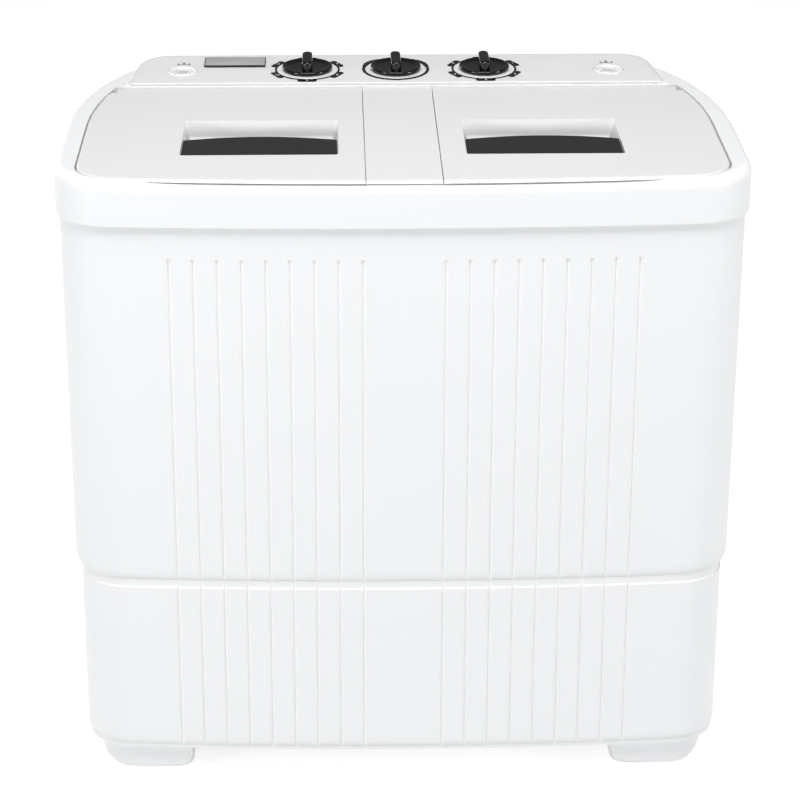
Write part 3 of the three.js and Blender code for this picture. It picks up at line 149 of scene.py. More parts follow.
def feed(tree, socket, value):
    """A constant or an output socket, given to an input socket."""
    if isinstance(value, (int, float)):
        socket.default_value = value
    else:
        connect(tree, (value, socket))


def math_node(tree, operation, *values):
    """The output of a math node on constants or output sockets."""
    node = add_node(tree, "Math")
    node.operation = operation
    for socket, value in zip(node.inputs, values):
        feed(tree, socket, value)
    return node.outputs[0]


# %% Fill from the world and lay the floor
FILL, MIRROR_DROP = 0.30, 0.16              # the world's strength, and what mirror rays see less
FLOOR_TONE, FLOOR_GLOW, FLOOR_REACH = 0.56, 0.78, 9.0

world = bpy.data.worlds.new("studio")
bpy.context.scene.world = world
tree = shader_tree(world)
seen = add_node(tree, "Background", Color=(1, 1, 1, 1), Strength=1.0)
fill = add_node(tree, "Background", Color=(0.98, 0.99, 1.0, 1))
choose, path = add_node(tree, "MixShader"), add_node(tree, "LightPath")
strength = math_node(tree, "MULTIPLY_ADD", path.outputs["Is Glossy Ray"], -MIRROR_DROP, FILL)
connect(tree, (strength, fill.inputs["Strength"]), (path.outputs["Is Camera Ray"], choose.inputs["Fac"]),
        (fill.outputs[0], choose.inputs[1]), (seen.outputs[0], choose.inputs[2]),
        (choose.outputs[0], add_node(tree, "OutputWorld").inputs["Surface"]))

floor_paint = bpy.data.materials.new("studio_floor")
tree = shader_tree(floor_paint)
matte = add_node(tree, "BsdfDiffuse", Color=(FLOOR_TONE, FLOOR_TONE, FLOOR_TONE, 1))
lift = add_node(tree, "Emission", Color=(1, 1, 1, 1), Strength=FLOOR_GLOW)
dark = add_node(tree, "Emission", Color=(0, 0, 0, 1), Strength=0.0)
path, glow, both = add_node(tree, "LightPath"), add_node(tree, "MixShader"), add_node(tree, "AddShader")
seen_or_mirrored = math_node(tree, "MAXIMUM", path.outputs["Is Camera Ray"], path.outputs["Is Glossy Ray"])
connect(tree, (seen_or_mirrored, glow.inputs["Fac"]), (dark.outputs[0], glow.inputs[1]),
        (lift.outputs[0], glow.inputs[2]),
        (matte.outputs[0], both.inputs[0]), (glow.outputs[0], both.inputs[1]),
        (both.outputs[0], add_node(tree, "OutputMaterial").inputs["Surface"]))

floor_mesh = bpy.data.meshes.new("floor")
corners = [(x * FLOOR_REACH, y * FLOOR_REACH, 0) for x, y in ((-1, -1), (1, -1), (1, 1), (-1, 1))]
floor_mesh.from_pydata(corners, [], [(0, 1, 2, 3)])
floor_mesh.materials.append(floor_paint)
floor = stand("floor", floor_mesh)
bpy.context.scene.view_settings.view_transform = "Standard"
print("floor", 2 * FLOOR_REACH, "m across")

# %% [markdown]
# ## Surface effects as node groups
# Effects that several materials need are node groups with inputs in real sizes. They read the object
# coordinates, which are the machine's own metres, so a grain runs on across two pieces.
# - **Moulded Grain**: a mould's fine bumps, and a slow drift in tone and roughness.
# - **Handling Marks**: a mask of soft smudges and thin scratches from hands and cloths.
# - **Drawn Lines**: noise stretched along one axis, for rolled sheet, turned rod and brushed foil.
# - **Painted Hollow Shade**: painted shade that greys a surface with its depth in a hollow below the deck.

# %% Helpers for the node groups
def new_group(name, inputs, **outputs):
    """A shader node group: inputs are names with their defaults, outputs are names with their kinds."""
    group = bpy.data.node_groups.new(name, "ShaderNodeTree")
    for label, default in inputs.items():
        kind = "NodeSocketColor" if isinstance(default, tuple) else "NodeSocketFloat"
        group.interface.new_socket(label, in_out="INPUT", socket_type=kind).default_value = default
    for label, kind in outputs.items():
        group.interface.new_socket(label, in_out="OUTPUT", socket_type="NodeSocket" + kind)
    place = add_node(group, "TexCoord").outputs["Object"]
    return group, group.nodes.new("NodeGroupInput").outputs, group.nodes.new("NodeGroupOutput").inputs, place


def noise_node(tree, vector, scale, detail, roughness=0.5):
    """Noise about 0.5 over a vector, at a scale in waves to the metre."""
    node = add_node(tree, "TexNoise", Detail=detail, Roughness=roughness)
    connect(tree, (vector, node.inputs["Vector"]))
    feed(tree, node.inputs["Scale"], scale)
    return node.outputs["Fac"]


def stretched(tree, place, scale, rotation=(0, 0, 0)):
    """Coordinates turned by three angles and scaled along each axis."""
    node = add_node(tree, "Mapping", Rotation=rotation, Scale=scale)
    connect(tree, (place, node.inputs["Vector"]))
    return node.outputs[0]


def send_colour(tree, colour, factor, target):
    """Colour x factor, sent to an input socket."""
    shade = add_node(tree, "VectorMath")
    shade.operation = "SCALE"
    connect(tree, (colour, shade.inputs[0]), (factor, shade.inputs["Scale"]), (shade.outputs[0], target))


def send_bump(tree, pattern, height, target):
    """The normal of a pattern whose full height is given in mm, sent to an input socket."""
    bump = add_node(tree, "Bump", Strength=1.0)
    connect(tree, (math_node(tree, "MULTIPLY", height, MM), bump.inputs["Distance"]),
            (pattern, bump.inputs["Height"]), (bump.outputs[0], target))


# %% Write the node groups
def moulded_grain():
    """Tone = 1 + spread (drift - 1/2); bump from grain of a given size in mm and height in mm."""
    group, given, out, place = new_group(
        "Moulded Grain", {"Colour": (0.8, 0.8, 0.8, 1), "Tone Spread": 0.03, "Roughness": 0.4,
                          "Roughness Spread": 0.1, "Grain Size": 1.2, "Grain Height": 0.02},
        Colour="Color", Roughness="Float", Normal="Vector")
    drift = math_node(group, "MULTIPLY", noise_node(group, place, 7.0, 3.0, 0.55), 0.75)
    mix = math_node(group, "MULTIPLY_ADD", noise_node(group, place, 900.0, 1.0), 0.25, drift)
    centred = math_node(group, "SUBTRACT", mix, 0.5)
    send_colour(group, given["Colour"], math_node(group, "MULTIPLY_ADD", centred, given["Tone Spread"], 1.0),
                out["Colour"])
    rough = math_node(group, "MULTIPLY_ADD", centred, given["Roughness Spread"], given["Roughness"])
    connect(group, (rough, out["Roughness"]))
    waves = math_node(group, "DIVIDE", 1000.0, given["Grain Size"])
    send_bump(group, noise_node(group, place, waves, 2.0, 0.6), given["Grain Height"], out["Normal"])
    return group


def handling_marks():
    """Mask = amount (smudge of 40 mm patches, lifted above a threshold) + fine hair scratches."""
    group, given, out, place = new_group("Handling Marks", {"Amount": 0.5, "Scratches": 0.3}, Mask="Float")
    patch = math_node(group, "SUBTRACT", noise_node(group, place, 24.0, 4.0, 0.6), 0.42)
    soft = math_node(group, "MAXIMUM", math_node(group, "SMOOTH_MIN", patch, 0.3, 0.2), 0.0)
    hair = noise_node(group, stretched(group, place, (18.0, 900.0, 60.0), (0.3, 0.5, 0.7)), 1.0, 1.0)
    line = math_node(group, "MULTIPLY", math_node(group, "GREATER_THAN", hair, 0.72), given["Scratches"])
    connect(group, (math_node(group, "MULTIPLY_ADD", soft, given["Amount"], line), out["Mask"]))
    return group


def drawn_lines():
    """Height and mask of lines along X: noise over (x / 60, y, z) in mm, at a given line width."""
    group, given, out, place = new_group("Drawn Lines", {"Line Width": 0.3, "Line Height": 0.01},
                                         Mask="Float", Normal="Vector")
    waves = math_node(group, "DIVIDE", 1000.0, given["Line Width"])
    lines = noise_node(group, stretched(group, place, (1.0 / 60.0, 1.0, 1.0)), waves, 2.0, 0.7)
    send_bump(group, lines, given["Line Height"], out["Normal"])
    connect(group, (lines, out["Mask"]))
    return group


def hollow_film():
    """Painted shade: colour x (1 - strength s), s rising from 0 to 1 between two mm depths below the deck's
    plane.
    """
    group, given, out, place = new_group(
        "Painted Hollow Shade", {"Colour": (0.8, 0.8, 0.8, 1), "Start": 2.0, "End": 16.0, "Strength": 0.0},
        Colour="Color")
    parts, ramp = add_node(group, "SeparateXYZ"), add_node(group, "MapRange")
    plane = math_node(group, "MULTIPLY_ADD", parts.outputs["Y"], DECK_RISE, (RIM + DECK_RISE * DEPTH / 2) * MM)
    depth = math_node(group, "MULTIPLY", math_node(group, "SUBTRACT", plane, parts.outputs["Z"]), 1000.0)
    ramp.interpolation_type = "SMOOTHSTEP"
    connect(group, (place, parts.inputs[0]), (depth, ramp.inputs["Value"]),
            (given["Start"], ramp.inputs["From Min"]), (given["End"], ramp.inputs["From Max"]))
    loss = math_node(group, "MULTIPLY", ramp.outputs["Result"], given["Strength"])
    send_colour(group, given["Colour"], math_node(group, "SUBTRACT", 1.0, loss), out["Colour"])
    return group


groups = {group.name: group for group in (moulded_grain(), handling_marks(), drawn_lines(), hollow_film())}
print("node groups:", ", ".join(groups))

# %% [markdown]
# ## Finishes
# ** Plastics** take the mould's grain, a little tone drift and handling marks in their roughness; the lids
# and the console have a thin gloss coat, and the lids have painted shade that darkens their hand holds.
# **Metals** add drawn lines. **Rubber** has a coarse grain and a pale dusty bloom. Colours are given as they
# look on a screen and are turned into the linear values that the shader needs.

# %% Make the plastics
def linear(code):
    """A colour written as six hex digits, as linear light: ((v + 0.055) / 1.055) ^ 2.4 above 0.04."""
    values = [int(code[i:i + 2], 16) / 255 for i in (0, 2, 4)]
    return (*[v / 12.92 if v <= 0.04045 else ((v + 0.055) / 1.055) ** 2.4 for v in values], 1.0)


def use_group(tree, name, **inputs):
    """One of the effect groups in a tree, with constants set on its inputs."""
    return add_node(tree, "Group", groups[name], **inputs)


def principled(name, **inputs):
    """A new material with one principled shader: the material, its tree and the shader's inputs."""
    material = bpy.data.materials.new(name)
    tree = shader_tree(material)
    shader = add_node(tree, "BsdfPrincipled", **inputs)
    connect(tree, (shader.outputs[0], add_node(tree, "OutputMaterial").inputs["Surface"]))
    return material, tree, shader.inputs


def plastic(name, code, roughness, grain=1.2, height=0.012, drift=0.02, marks=0.3, coat=0.0, painted_shade=0.0):
    """Moulded plastic: roughness + 0.2 x the handling mask, and a gloss coat x (1 - mask / 2)."""
    material, tree, surface = principled(name, IOR=1.49, Coat_Roughness=0.12)
    skin = use_group(tree, "Moulded Grain", Colour=linear(code), Tone_Spread=drift, Roughness=roughness,
                     Roughness_Spread=0.25 * roughness, Grain_Size=grain, Grain_Height=height).outputs
    mask = use_group(tree, "Handling Marks", Amount=marks, Scratches=0.25 * marks).outputs["Mask"]
    # Painted shade: the colour darkens with depth in hollows below the deck, such as the lids' hand holds.
    hollow = use_group(tree, "Painted Hollow Shade", Start=2.5, End=17.0, Strength=painted_shade)
    polish = math_node(tree, "MULTIPLY_ADD", mask, -0.5 * coat, coat)
    connect(tree, (skin["Colour"], hollow.inputs["Colour"]), (hollow.outputs["Colour"], surface["Base Color"]),
            (math_node(tree, "MULTIPLY_ADD", mask, 0.2, skin["Roughness"]), surface["Roughness"]),
            (skin["Normal"], surface["Normal"]),
            (math_node(tree, "MAXIMUM", polish, 0.0), surface["Coat Weight"]))
    return material


finishes = {name: plastic(name, code, roughness, **more) for name, code, roughness, more in (
    ("white_plastic", "F4F5F6", 0.40, dict(grain=1.6, height=0.006, marks=0.35)),
    # painted shade: the lids darken by up to 0.42 of their colour in their hand holds
    ("light_grey_plastic", "F1F1F1", 0.30, dict(grain=2.2, height=0.005, coat=0.25, painted_shade=0.42)),
    ("console_plastic", "F1F0F0", 0.34, dict(grain=1.8, height=0.006, coat=0.15)),
    ("charcoal_plastic", "272528", 0.62, dict(grain=0.55, height=0.035, drift=0.12, marks=0.6)),
    ("black_gloss", "100F0F", 0.10, dict(grain=4.0, height=0.003, drift=0.1, marks=0.5, coat=0.2)),
    ("tub_plastic", "DDE5EA", 0.45, dict(grain=1.4, drift=0.03, marks=0.5)),
    ("blue_plastic", "7FA6C4", 0.42, dict(drift=0.06, marks=0.5)),
    ("dial_ink", "F2F2F2", 0.5, dict(grain=0.5, height=0.004, drift=0.05, marks=0.2)),
    ("icon_ink", "5A5C60", 0.5, dict(grain=0.5, height=0.004, drift=0.08, marks=0.2)),
    ("motor_paint", "3C4248", 0.45, dict(grain=0.9, height=0.03, drift=0.15, marks=0.8)),
)}
print(len(finishes), "plastics and paints")

# %% Make the metals and the rubber
def metal(name, code, roughness, line_width, line_height, tint=0.12, metallic=1.0):
    """Drawn metal: colour x (1 + tint (drift - 1/2)), roughness + 0.15 x line + 0.2 x handling mask."""
    material, tree, surface = principled(name, Metallic=metallic)
    skin = use_group(tree, "Moulded Grain", Colour=linear(code), Tone_Spread=tint, Roughness=roughness,
                     Roughness_Spread=0.2).outputs
    lines = use_group(tree, "Drawn Lines", Line_Width=line_width, Line_Height=line_height).outputs
    mask = use_group(tree, "Handling Marks", Amount=0.4, Scratches=0.5).outputs["Mask"]
    streak = math_node(tree, "MULTIPLY_ADD", lines["Mask"], 0.15, skin["Roughness"])
    connect(tree, (skin["Colour"], surface["Base Color"]), (lines["Normal"], surface["Normal"]),
            (math_node(tree, "MULTIPLY_ADD", mask, 0.2, streak), surface["Roughness"]))
    return material


def rubber(name, code):
    """Black rubber with a dusty bloom: base = mix(colour, grey, 0.35 x the handling mask)."""
    material, tree, surface = principled(name, IOR=1.5)
    skin = use_group(tree, "Moulded Grain", Colour=linear(code), Tone_Spread=0.2, Roughness=0.7,
                     Roughness_Spread=0.2, Grain_Size=0.8, Grain_Height=0.05).outputs
    mask = use_group(tree, "Handling Marks", Amount=1.0, Scratches=0.1).outputs["Mask"]
    bloom = add_node(tree, "Mix")
    bloom.data_type = "RGBA"
    bloom.inputs["B"].default_value = linear("6A6A6A")
    connect(tree, (math_node(tree, "MULTIPLY", mask, 0.35), bloom.inputs["Factor"]),
            (skin["Colour"], bloom.inputs["A"]), (bloom.outputs["Result"], surface["Base Color"]),
            (skin["Roughness"], surface["Roughness"]), (skin["Normal"], surface["Normal"]))
    return material


finishes["steel"] = metal("steel", "A9ACB0", 0.28, 0.35, 0.012)
finishes["cast_aluminium"] = metal("cast_aluminium", "9A9DA0", 0.42, 2.5, 0.02, tint=0.2)
finishes["badge_metal"] = metal("badge_metal", "C9CBCD", 0.34, 0.25, 0.01, tint=0.06, metallic=0.35)
finishes["black_rubber"] = rubber("black_rubber", "1C1C1C")
print(len(finishes), "finishes")

# %% [markdown]
# ## Shapes that the mouldings share
# The machine follows one plan outline: a gently bowed front, small round front corners, and back corners
# that are quarter ellipses. A moulding is a stack of such loops at set insets and heights, with a surface
# drawn through it, in millimetres until it becomes a mesh. The heights of sloping surfaces are functions:
# the deck rises 5 degrees to the back, the console 6.

# %% Outline and height functions
BOW, CORNER, REAR = 3180.0, 57, (113, 206)  # radii: the bowed front, its corners, the rear quarter ellipses
SEAM, FOOT_TOP = 193.0, 27.0                # heights of the plinth's upper and lower edge
WALL = 2.5
CONSOLE_FRONT, CONSOLE_TILT = 85.0, math.radians(6)
QUARTER = math.pi / 2
SIDES = (-1, 1)
GROOVES = [side * (34.51 + 20.3 * i) for side in SIDES for i in range(9)]


def deck_top(y):
    """Height of the deck: RIM + tan 5 deg x (y + DEPTH / 2)."""
    return RIM + DECK_RISE * (y + DEPTH / 2)


def console_top(y):
    """Height of the console: the deck's height at its front, 3 more, and tan 6 deg x (y - front)."""
    return deck_top(CONSOLE_FRONT) + 3 + math.tan(CONSOLE_TILT) * (y - CONSOLE_FRONT)


def arc(cx, cy, rx, ry, start, end, steps):
    """Points (cx + rx cos a, cy + ry sin a) for a from start to end."""
    a = np.linspace(start, end, steps + 1)
    return np.column_stack([cx + rx * np.cos(a), cy + ry * np.sin(a)])


def circle(cx, cy, r, steps=24):
    """A full turn of an arc, without its doubled end."""
    return arc(cx, cy, r, r, 0, 4 * QUARTER, steps)[:-1]


def groove_columns():
    """X of the columns across the grooved front: 11 for each groove, and one between neighbours."""
    across = np.array([-1.15, -1.0, -0.85, -0.5, -0.22, 0.0, 0.22, 0.5, 0.85, 1.0, 1.15]) * 2.7
    centres = np.sort(np.array(GROOVES))
    between = (centres[1:] + centres[:-1]) / 2
    return np.sort(np.concatenate([(centres[:, None] + across).ravel(), between, [-206.0, 206.0]]))


def plan_outline(side, front=None, back=None, grooved=False):
    """The plan loop drawn in by its insets (front and back as the side, unless given), anticlockwise."""
    front, back = side if front is None else front, side if back is None else back
    half, near, far = WIDTH / 2 - side, -DEPTH / 2 + front, DEPTH / 2 - back
    r = max(CORNER - side, 2.0)
    bow_y = near + BOW
    corner_x = half - r
    corner_y = bow_y - math.sqrt((BOW - r) ** 2 - corner_x ** 2)
    meet = math.atan2(corner_x, bow_y - corner_y)
    rear_x, rear_y = REAR[0] - side, REAR[1] - back
    end = BOW * math.sin(meet)
    x = np.concatenate([[-end], groove_columns(), [end]]) if grooved else np.linspace(-end, end, 33)
    return np.vstack([
        np.column_stack([x, bow_y - np.sqrt(BOW ** 2 - x ** 2)]),
        arc(corner_x, corner_y, r, r, meet - QUARTER, 0, 12)[1:],
        arc(half - rear_x, far - rear_y, rear_x, rear_y, 0, QUARTER, 20),
        arc(rear_x - half, far - rear_y, rear_x, rear_y, QUARTER, 2 * QUARTER, 20),
        arc(-corner_x, corner_y, r, r, 2 * QUARTER, 3 * QUARTER - meet, 12)[:-1],
    ])


def at_height(loop, height):
    """A flat loop lifted to a height, or to a function of each point's y."""
    z = height(loop[:, 1]) if callable(height) else np.full(len(loop), float(height))
    return np.column_stack([loop, z])


def rounded_box(x0, y0, x1, y1, r, steps=6):
    """A rectangle with round corners, anticlockwise."""
    corners = [(x1 - r, y0 + r), (x1 - r, y1 - r), (x0 + r, y1 - r), (x0 + r, y0 + r)]
    return np.vstack([arc(x, y, r, r, (i - 1) * QUARTER, i * QUARTER, steps)
                      for i, (x, y) in enumerate(corners)])


print("outline of", len(plan_outline(0, grooved=True)), "points with the grooves' columns")

# %% [markdown]
# ## From loops to pieces
# A stack of loops with equal point counts is one numpy grid. Its faces join each point to the next one round
# the loop and up the stack: (k, i), (k, i + 1), (k + 1, i + 1), (k + 1, i). The sign of the volume inside
# tells whether they look outward.

# %% Loft, profile and boolean helpers
def signed_volume(points, faces):
    """Sum of a . (b x c) / 6 over each face's fan of triangles."""
    fans = np.array([(face[0], *pair) for face in faces for pair in zip(face[1:], face[2:])])
    a, b, c = points[fans].transpose(1, 0, 2)
    return (a * np.cross(b, c)).sum() / 6


def smooth(mesh):
    """Smooth shading, with edges over 35 degrees kept sharp."""
    mesh.polygons.foreach_set("use_smooth", np.ones(len(mesh.polygons), bool))
    mesh.set_sharp_from_angle(angle=math.radians(35))
    return mesh


def loft(rings, closed=False):
    """A skin in mm through loops of equal count, capped at both ends or joined end to end, facing outward."""
    count, points = len(rings[0]), np.vstack(rings)
    k, i = np.mgrid[:len(rings) if closed else len(rings) - 1, :count]
    j, low, high = (i + 1) % count, k * count, (k + 1) % len(rings) * count
    quads = np.stack([low + i, low + j, high + j, high + i], axis=-1).reshape(-1, 4)
    faces = [tuple(quad) for quad in quads.tolist()]
    if not closed:
        faces += [tuple(range(count))[::-1], tuple(range(len(points) - count, len(points)))]
    if signed_volume(points, faces) < 0:
        faces = [face[::-1] for face in faces]
    mesh = bpy.data.meshes.new("moulding")
    mesh.from_pydata((points * MM).tolist(), [], faces)
    mesh.update()
    return smooth(mesh)


def prism(loop, low, high):
    """The upright solid over a loop, between two heights."""
    return loft([at_height(loop, z) for z in (low, high)])


def turned(profile, steps):
    """A profile of (radius, height) points turned about Z, closed on itself when it leaves the axis."""
    a = np.arange(steps) * 2 * math.pi / steps
    unit = np.column_stack([np.cos(a), np.sin(a)])
    rings = [at_height(max(r, 1e-4) * unit, z) for r, z in profile]
    return loft(rings, closed=profile[0][0] != 0 or profile[-1][0] != 0)


def new_piece(name, mesh, finish, *nodes, body="frame", slot=None, even=False, edge=0.0):
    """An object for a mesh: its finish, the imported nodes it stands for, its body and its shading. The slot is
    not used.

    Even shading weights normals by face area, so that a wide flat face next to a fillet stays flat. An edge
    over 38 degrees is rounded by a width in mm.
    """
    mesh.name = name
    piece = stand(name, mesh)
    mesh.materials.clear()
    mesh.materials.append(finishes[finish])
    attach(piece, body)
    if nodes:
        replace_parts(piece, *nodes)
    if edge:
        bevel = piece.modifiers.new("soft_edges", "BEVEL")
        bevel.width, bevel.segments = edge * MM, 2
        bevel.limit_method, bevel.angle_limit = "ANGLE", math.radians(38)
    if even:
        normals = piece.modifiers.new("even_shading", "WEIGHTED_NORMAL")
        normals.keep_sharp, normals.weight = True, 80
    return piece


def evaluated(holder, *spares):
    """An object's mesh with its modifiers applied; the object and the spare ones are removed."""
    bpy.context.view_layer.update()
    mesh = bpy.data.meshes.new_from_object(holder.evaluated_get(bpy.context.evaluated_depsgraph_get()))
    for spare in (holder, *spares):
        bpy.data.objects.remove(spare)
    return mesh


def carve(mesh, cutters, operation="DIFFERENCE"):
    """A mesh with others cut from it or joined to it, by Blender's exact boolean."""
    holder = stand("carving", mesh)
    tools = [stand(f"cutter_{i}", cutter) for i, cutter in enumerate(cutters)]
    for tool in tools:
        modifier = holder.modifiers.new(tool.name, "BOOLEAN")
        modifier.object, modifier.operation, modifier.solver = tool, operation, "EXACT"
    return smooth(evaluated(holder, *tools))


def placed(mesh, matrix):
    """The mesh moved by a matrix whose shift is in metres."""
    mesh.transform(matrix)
    return mesh


def on_console(mesh, x, y, above=0.0):
    """A mesh built round the Z axis, tipped with the console and set on it at (x, y) mm."""
    lift = Matrix.Translation(Vector((x, y, console_top(y) + above)) * MM)
    return placed(mesh, lift @ Matrix.Rotation(CONSOLE_TILT, 4, "X"))


# %% [markdown]
# ## Cabinet, plinth and feet
# The cabinet is one moulding with upright grooves in its front. Each groove is a small V with a round bottom
# and soft shoulders. It ends in a quarter ellipse at the top, runs out over the lower edge and goes on down
# the plinth, where the recessed band under the cabinet almost swallows it.

# %% Groove shape
GROOVE_TOP, GROOVE_DEPTH, GROOVE_HALF = 485.0, 1.8, 2.2


def groove_shape(t):
    """V of depth 1 over |t| < 1: parabolas round the bottom (|t| < 0.22) and the shoulders (near 1)."""
    t = np.abs(t)
    bottom = 1 - 0.11 - t ** 2 / 0.44
    shoulder = np.clip(1.15 - t, 0, None) ** 2 / 0.6
    return np.where(t < 0.22, bottom, np.where(t < 0.85, 1 - t, shoulder))


def with_grooves(ring, front, top):
    """A ring whose front is pushed in to y = face + depth x shape, fading out below a top."""
    x, y, z = ring.T
    t = (x[:, None] - np.array(GROOVES)) / GROOVE_HALF
    nearest = np.take_along_axis(t, np.abs(t).argmin(1)[:, None], 1)[:, 0]
    end = 1.0 if top is None else np.sqrt(np.clip(1 - (np.clip(z - (top - 3), 0, None) / 3) ** 2, 0, 1))
    face = -DEPTH / 2 + front + BOW - np.sqrt(BOW ** 2 - x ** 2)
    pushed = np.maximum(y, face + GROOVE_DEPTH * end * groove_shape(nearest))
    on_front = (np.abs(x) <= 206.5) & (y < 0)
    return np.column_stack([x, np.where(on_front, pushed, y), z])


def wall_ring(inset, side, front, z, back=None, grooved=True):
    """A loop of the plan outline at height z, drawn in from a piece's own inset."""
    back = side if back is None else back
    loop = plan_outline(inset[0] + side, inset[1] + front, inset[2] + back, grooved=True)
    ring = at_height(loop, z)
    return with_grooves(ring, inset[1], GROOVE_TOP if z > SEAM - 1 else None) if grooved else ring


print("groove at its middle, flank and edge:", groove_shape([0.0, 0.5, 1.0]).round(3))

# %% Mould the cabinet
def cabinet():
    """Outer rows from the lip up, over the top edge, and back down inside, WALL in."""
    inset, draft, top, lip, flare = (3.0, 4.0, 3.0), 1.3, RIM - 15, 205, 4.2
    rings = []
    for z in [SEAM, 193.5, 194.3, 195.6, 197.5, 200.5, lip, *np.linspace(225, 465, 9), 475, 480, 482,
              483.2, 484.1, 484.7, 485, 485.6, 490, 512, top]:
        t = max(0.0, (lip - z) / 12)
        side = flare * t ** 2.7
        lean = draft * min(1.0, (top - z) / (top - lip))
        rings.append(wall_ring(inset, side + lean, 1.4 * t ** 4.8, z, back=side))
    for side, z, back in [(WALL, top, WALL), (draft + WALL, lip, WALL),
                          (draft + WALL + flare, SEAM, WALL + flare)]:
        rings.append(wall_ring(inset, side, WALL, z, back=back, grooved=False))
    return carve(loft(rings, closed=True), [prism(rounded_box(-150, 160, 150, 190, 0.5), 262, 468)])


shell = new_piece("cabinet_moulding", cabinet(), "white_plastic", "cabinet_shell")
print("cabinet:", len(shell.data.polygons), "faces")

# %% Mould the plinth and its floor
def hole_through_back(x, z, r):
    """A cutting cylinder along Y."""
    turn = circle(x, z, r, 32)
    return loft([np.insert(turn, 1, y, axis=1) for y in (150, 190)])


def plinth():
    """The skirt with its rounded lower edge and the recessed band on top, and holes for hose and cord."""
    inset, ledge = (9.8, 4.6, 8.0), SEAM - 8
    rows = []
    for z in [FOOT_TOP, 27.3, 27.9, 29, 30.6, 33, 36, 40, 80, 130, 165, 180, ledge]:
        t = max(0.0, (40 - z) / 13)
        rows.append((10 * t ** 4.4, 6 * t ** 4.6, z))
    rows += [(1.2, 1.2, ledge + 0.8), (1.2, 1.2, SEAM - 0.3), (2.9, 2.9, SEAM - 0.3), (2.9, 2.9, SEAM + 10)]
    inner = [(5.2, 5.2, SEAM + 10), (3.7, 3.7, ledge - 8), (WALL, WALL, FOOT_TOP + 12), (12, 9, FOOT_TOP + 2.5)]
    rings = [wall_ring(inset, *row) for row in rows] + [wall_ring(inset, *row, grooved=False) for row in inner]
    return carve(loft(rings, closed=True), [hole_through_back(44, 54, 13.6), hole_through_back(-150, 130, 7.6)])


def plinth_floor():
    """The floor plate with the belt's well and four vent slots."""
    plate = prism(plan_outline(11.3, 6.1, 9.5), FOOT_TOP + 0.4, FOOT_TOP + 4)
    vents = [rounded_box(-50, -70 + 26 * i, 40, -60 + 26 * i, 3) for i in range(4)]
    return carve(plate, [prism(loop, 20, 40) for loop in (rounded_box(-240, -88, -70, 48, 40), *vents)])


new_piece("plinth_skirt", plinth(), "white_plastic", "plinth")
new_piece("plinth_floor", plinth_floor(), "white_plastic", "plinth")
print("plinth and floor")

# %% Mould the four feet
def foot(x, y):
    """Loops that curve in to the floor on the outside, clipped to the plinth's plan."""
    out, ahead = math.copysign(1, x), math.copysign(1, y)
    rings = []
    for z in [0, 0.6, 1.6, 3, 5, 7.5, 11, 16, 21, FOOT_TOP - 0.3]:
        t = 1 - z / (FOOT_TOP - 0.3)
        outer, inner = 36 * t ** 4.2, 9 * t ** 5
        xs = sorted([x - out * (39 - inner), x + out * (45 - outer)])
        ys = sorted([y + ahead * (46 - outer * 0.45), y - ahead * (42 - inner)])
        rings.append(at_height(rounded_box(xs[0], ys[0], xs[1], ys[1], 10), z))
    return carve(loft(rings), [prism(plan_outline(20.8, 12.6, 19.0), -1, FOOT_TOP)], "INTERSECT")


for end, y in (("front", -120), ("back", 118)):
    for hand, x in (("left", -226), ("right", 226)):
        new_piece(f"{end}_{hand}_foot", foot(x, y), "white_plastic", f"foot_{end}_{hand}")
print("four feet")

# %% [markdown]
# ## Top deck
# One moulding makes the collar, the two shallow wells that the lids lie in, and the wall round each tub's
# opening. The collar's upper edge is a quarter ellipse, 8 mm wide and 9 mm high. The capped collar is joined
# with a tray and two opening walls, and then the wells, the openings, the strip's seat and a ledge under the
# lids' front lip are cut.

# %% Cutting tools that follow the deck
HINGE_Y = 77.5
LID_SIDE, LID_FRONT = 20.0, 6.0             # the lids' insets from the plan; their wells are 1 mm wider


def half_field(loop, side, near_x, back_y):
    """One side of a loop, x held beyond near_x and y before back_y, without doubled or needless points."""
    low, high = sorted((side * WIDTH / 2, side * near_x))
    loop = np.column_stack([np.clip(loop[:, 0], low, high), np.minimum(loop[:, 1], back_y)])
    loop = loop[np.linalg.norm(loop - np.roll(loop, -1, 0), axis=1) > 0.01]
    before, after = loop - np.roll(loop, 1, 0), np.roll(loop, -1, 0) - loop
    turn = np.abs(before[:, 0] * after[:, 1] - before[:, 1] * after[:, 0])
    size = np.linalg.norm(before, axis=1) * np.linalg.norm(after, axis=1)
    return loop[turn > 1e-3 * size]


def above_deck(loop, height):
    """A loop that lies parallel to the deck, a height above it."""
    return at_height(loop, lambda y: deck_top(y) + height)


def round_edge(wide, high, steps, start=0.0):
    """A quarter ellipse's rows: how far drawn in, wide (1 - cos t), and how far down, high (1 - sin t)."""
    return [(wide * (1 - math.cos(t)), high * (1 - math.sin(t))) for t in np.linspace(start, QUARTER, steps)]


def deck_prism(loop, low, high):
    """The solid between two surfaces parallel to the deck."""
    return loft([above_deck(loop, low), above_deck(loop, high)])


def rod(x0, x1, r):
    """A cylinder along X on the lids' axis."""
    ring = circle(HINGE_Y, deck_top(HINGE_Y) - 5.8, r)
    return loft([np.insert(ring, 0, x, axis=1) for x in (x0, x1)])


# %% Mould the top deck
def opening_prism(side, grow, low, high):
    """The solid over a tub's opening, grown by a wall, from a height to one above the deck."""
    loop = half_field(plan_outline(33 - grow, 21 - grow), side, 46 - grow, 68 + grow)
    return loft([at_height(loop, low), above_deck(loop, high)])


def front_ledge():
    """The cut under the lids' lip: a band along the bow, 2.4 mm deep, running out to nothing at its ends."""
    x = np.linspace(-224, 224, 57)
    face = BOW - DEPTH / 2 - np.sqrt(BOW ** 2 - x ** 2)
    floor = -2.4 * (1 - (x / 226) ** 12)
    section = [(-5, floor), (9, floor), (9, 2), (-5, 2)]
    corners = [np.column_stack([x, face + dy, deck_top(face + dy) + up]) for dy, up in section]
    return loft(list(np.stack(corners, axis=1)))


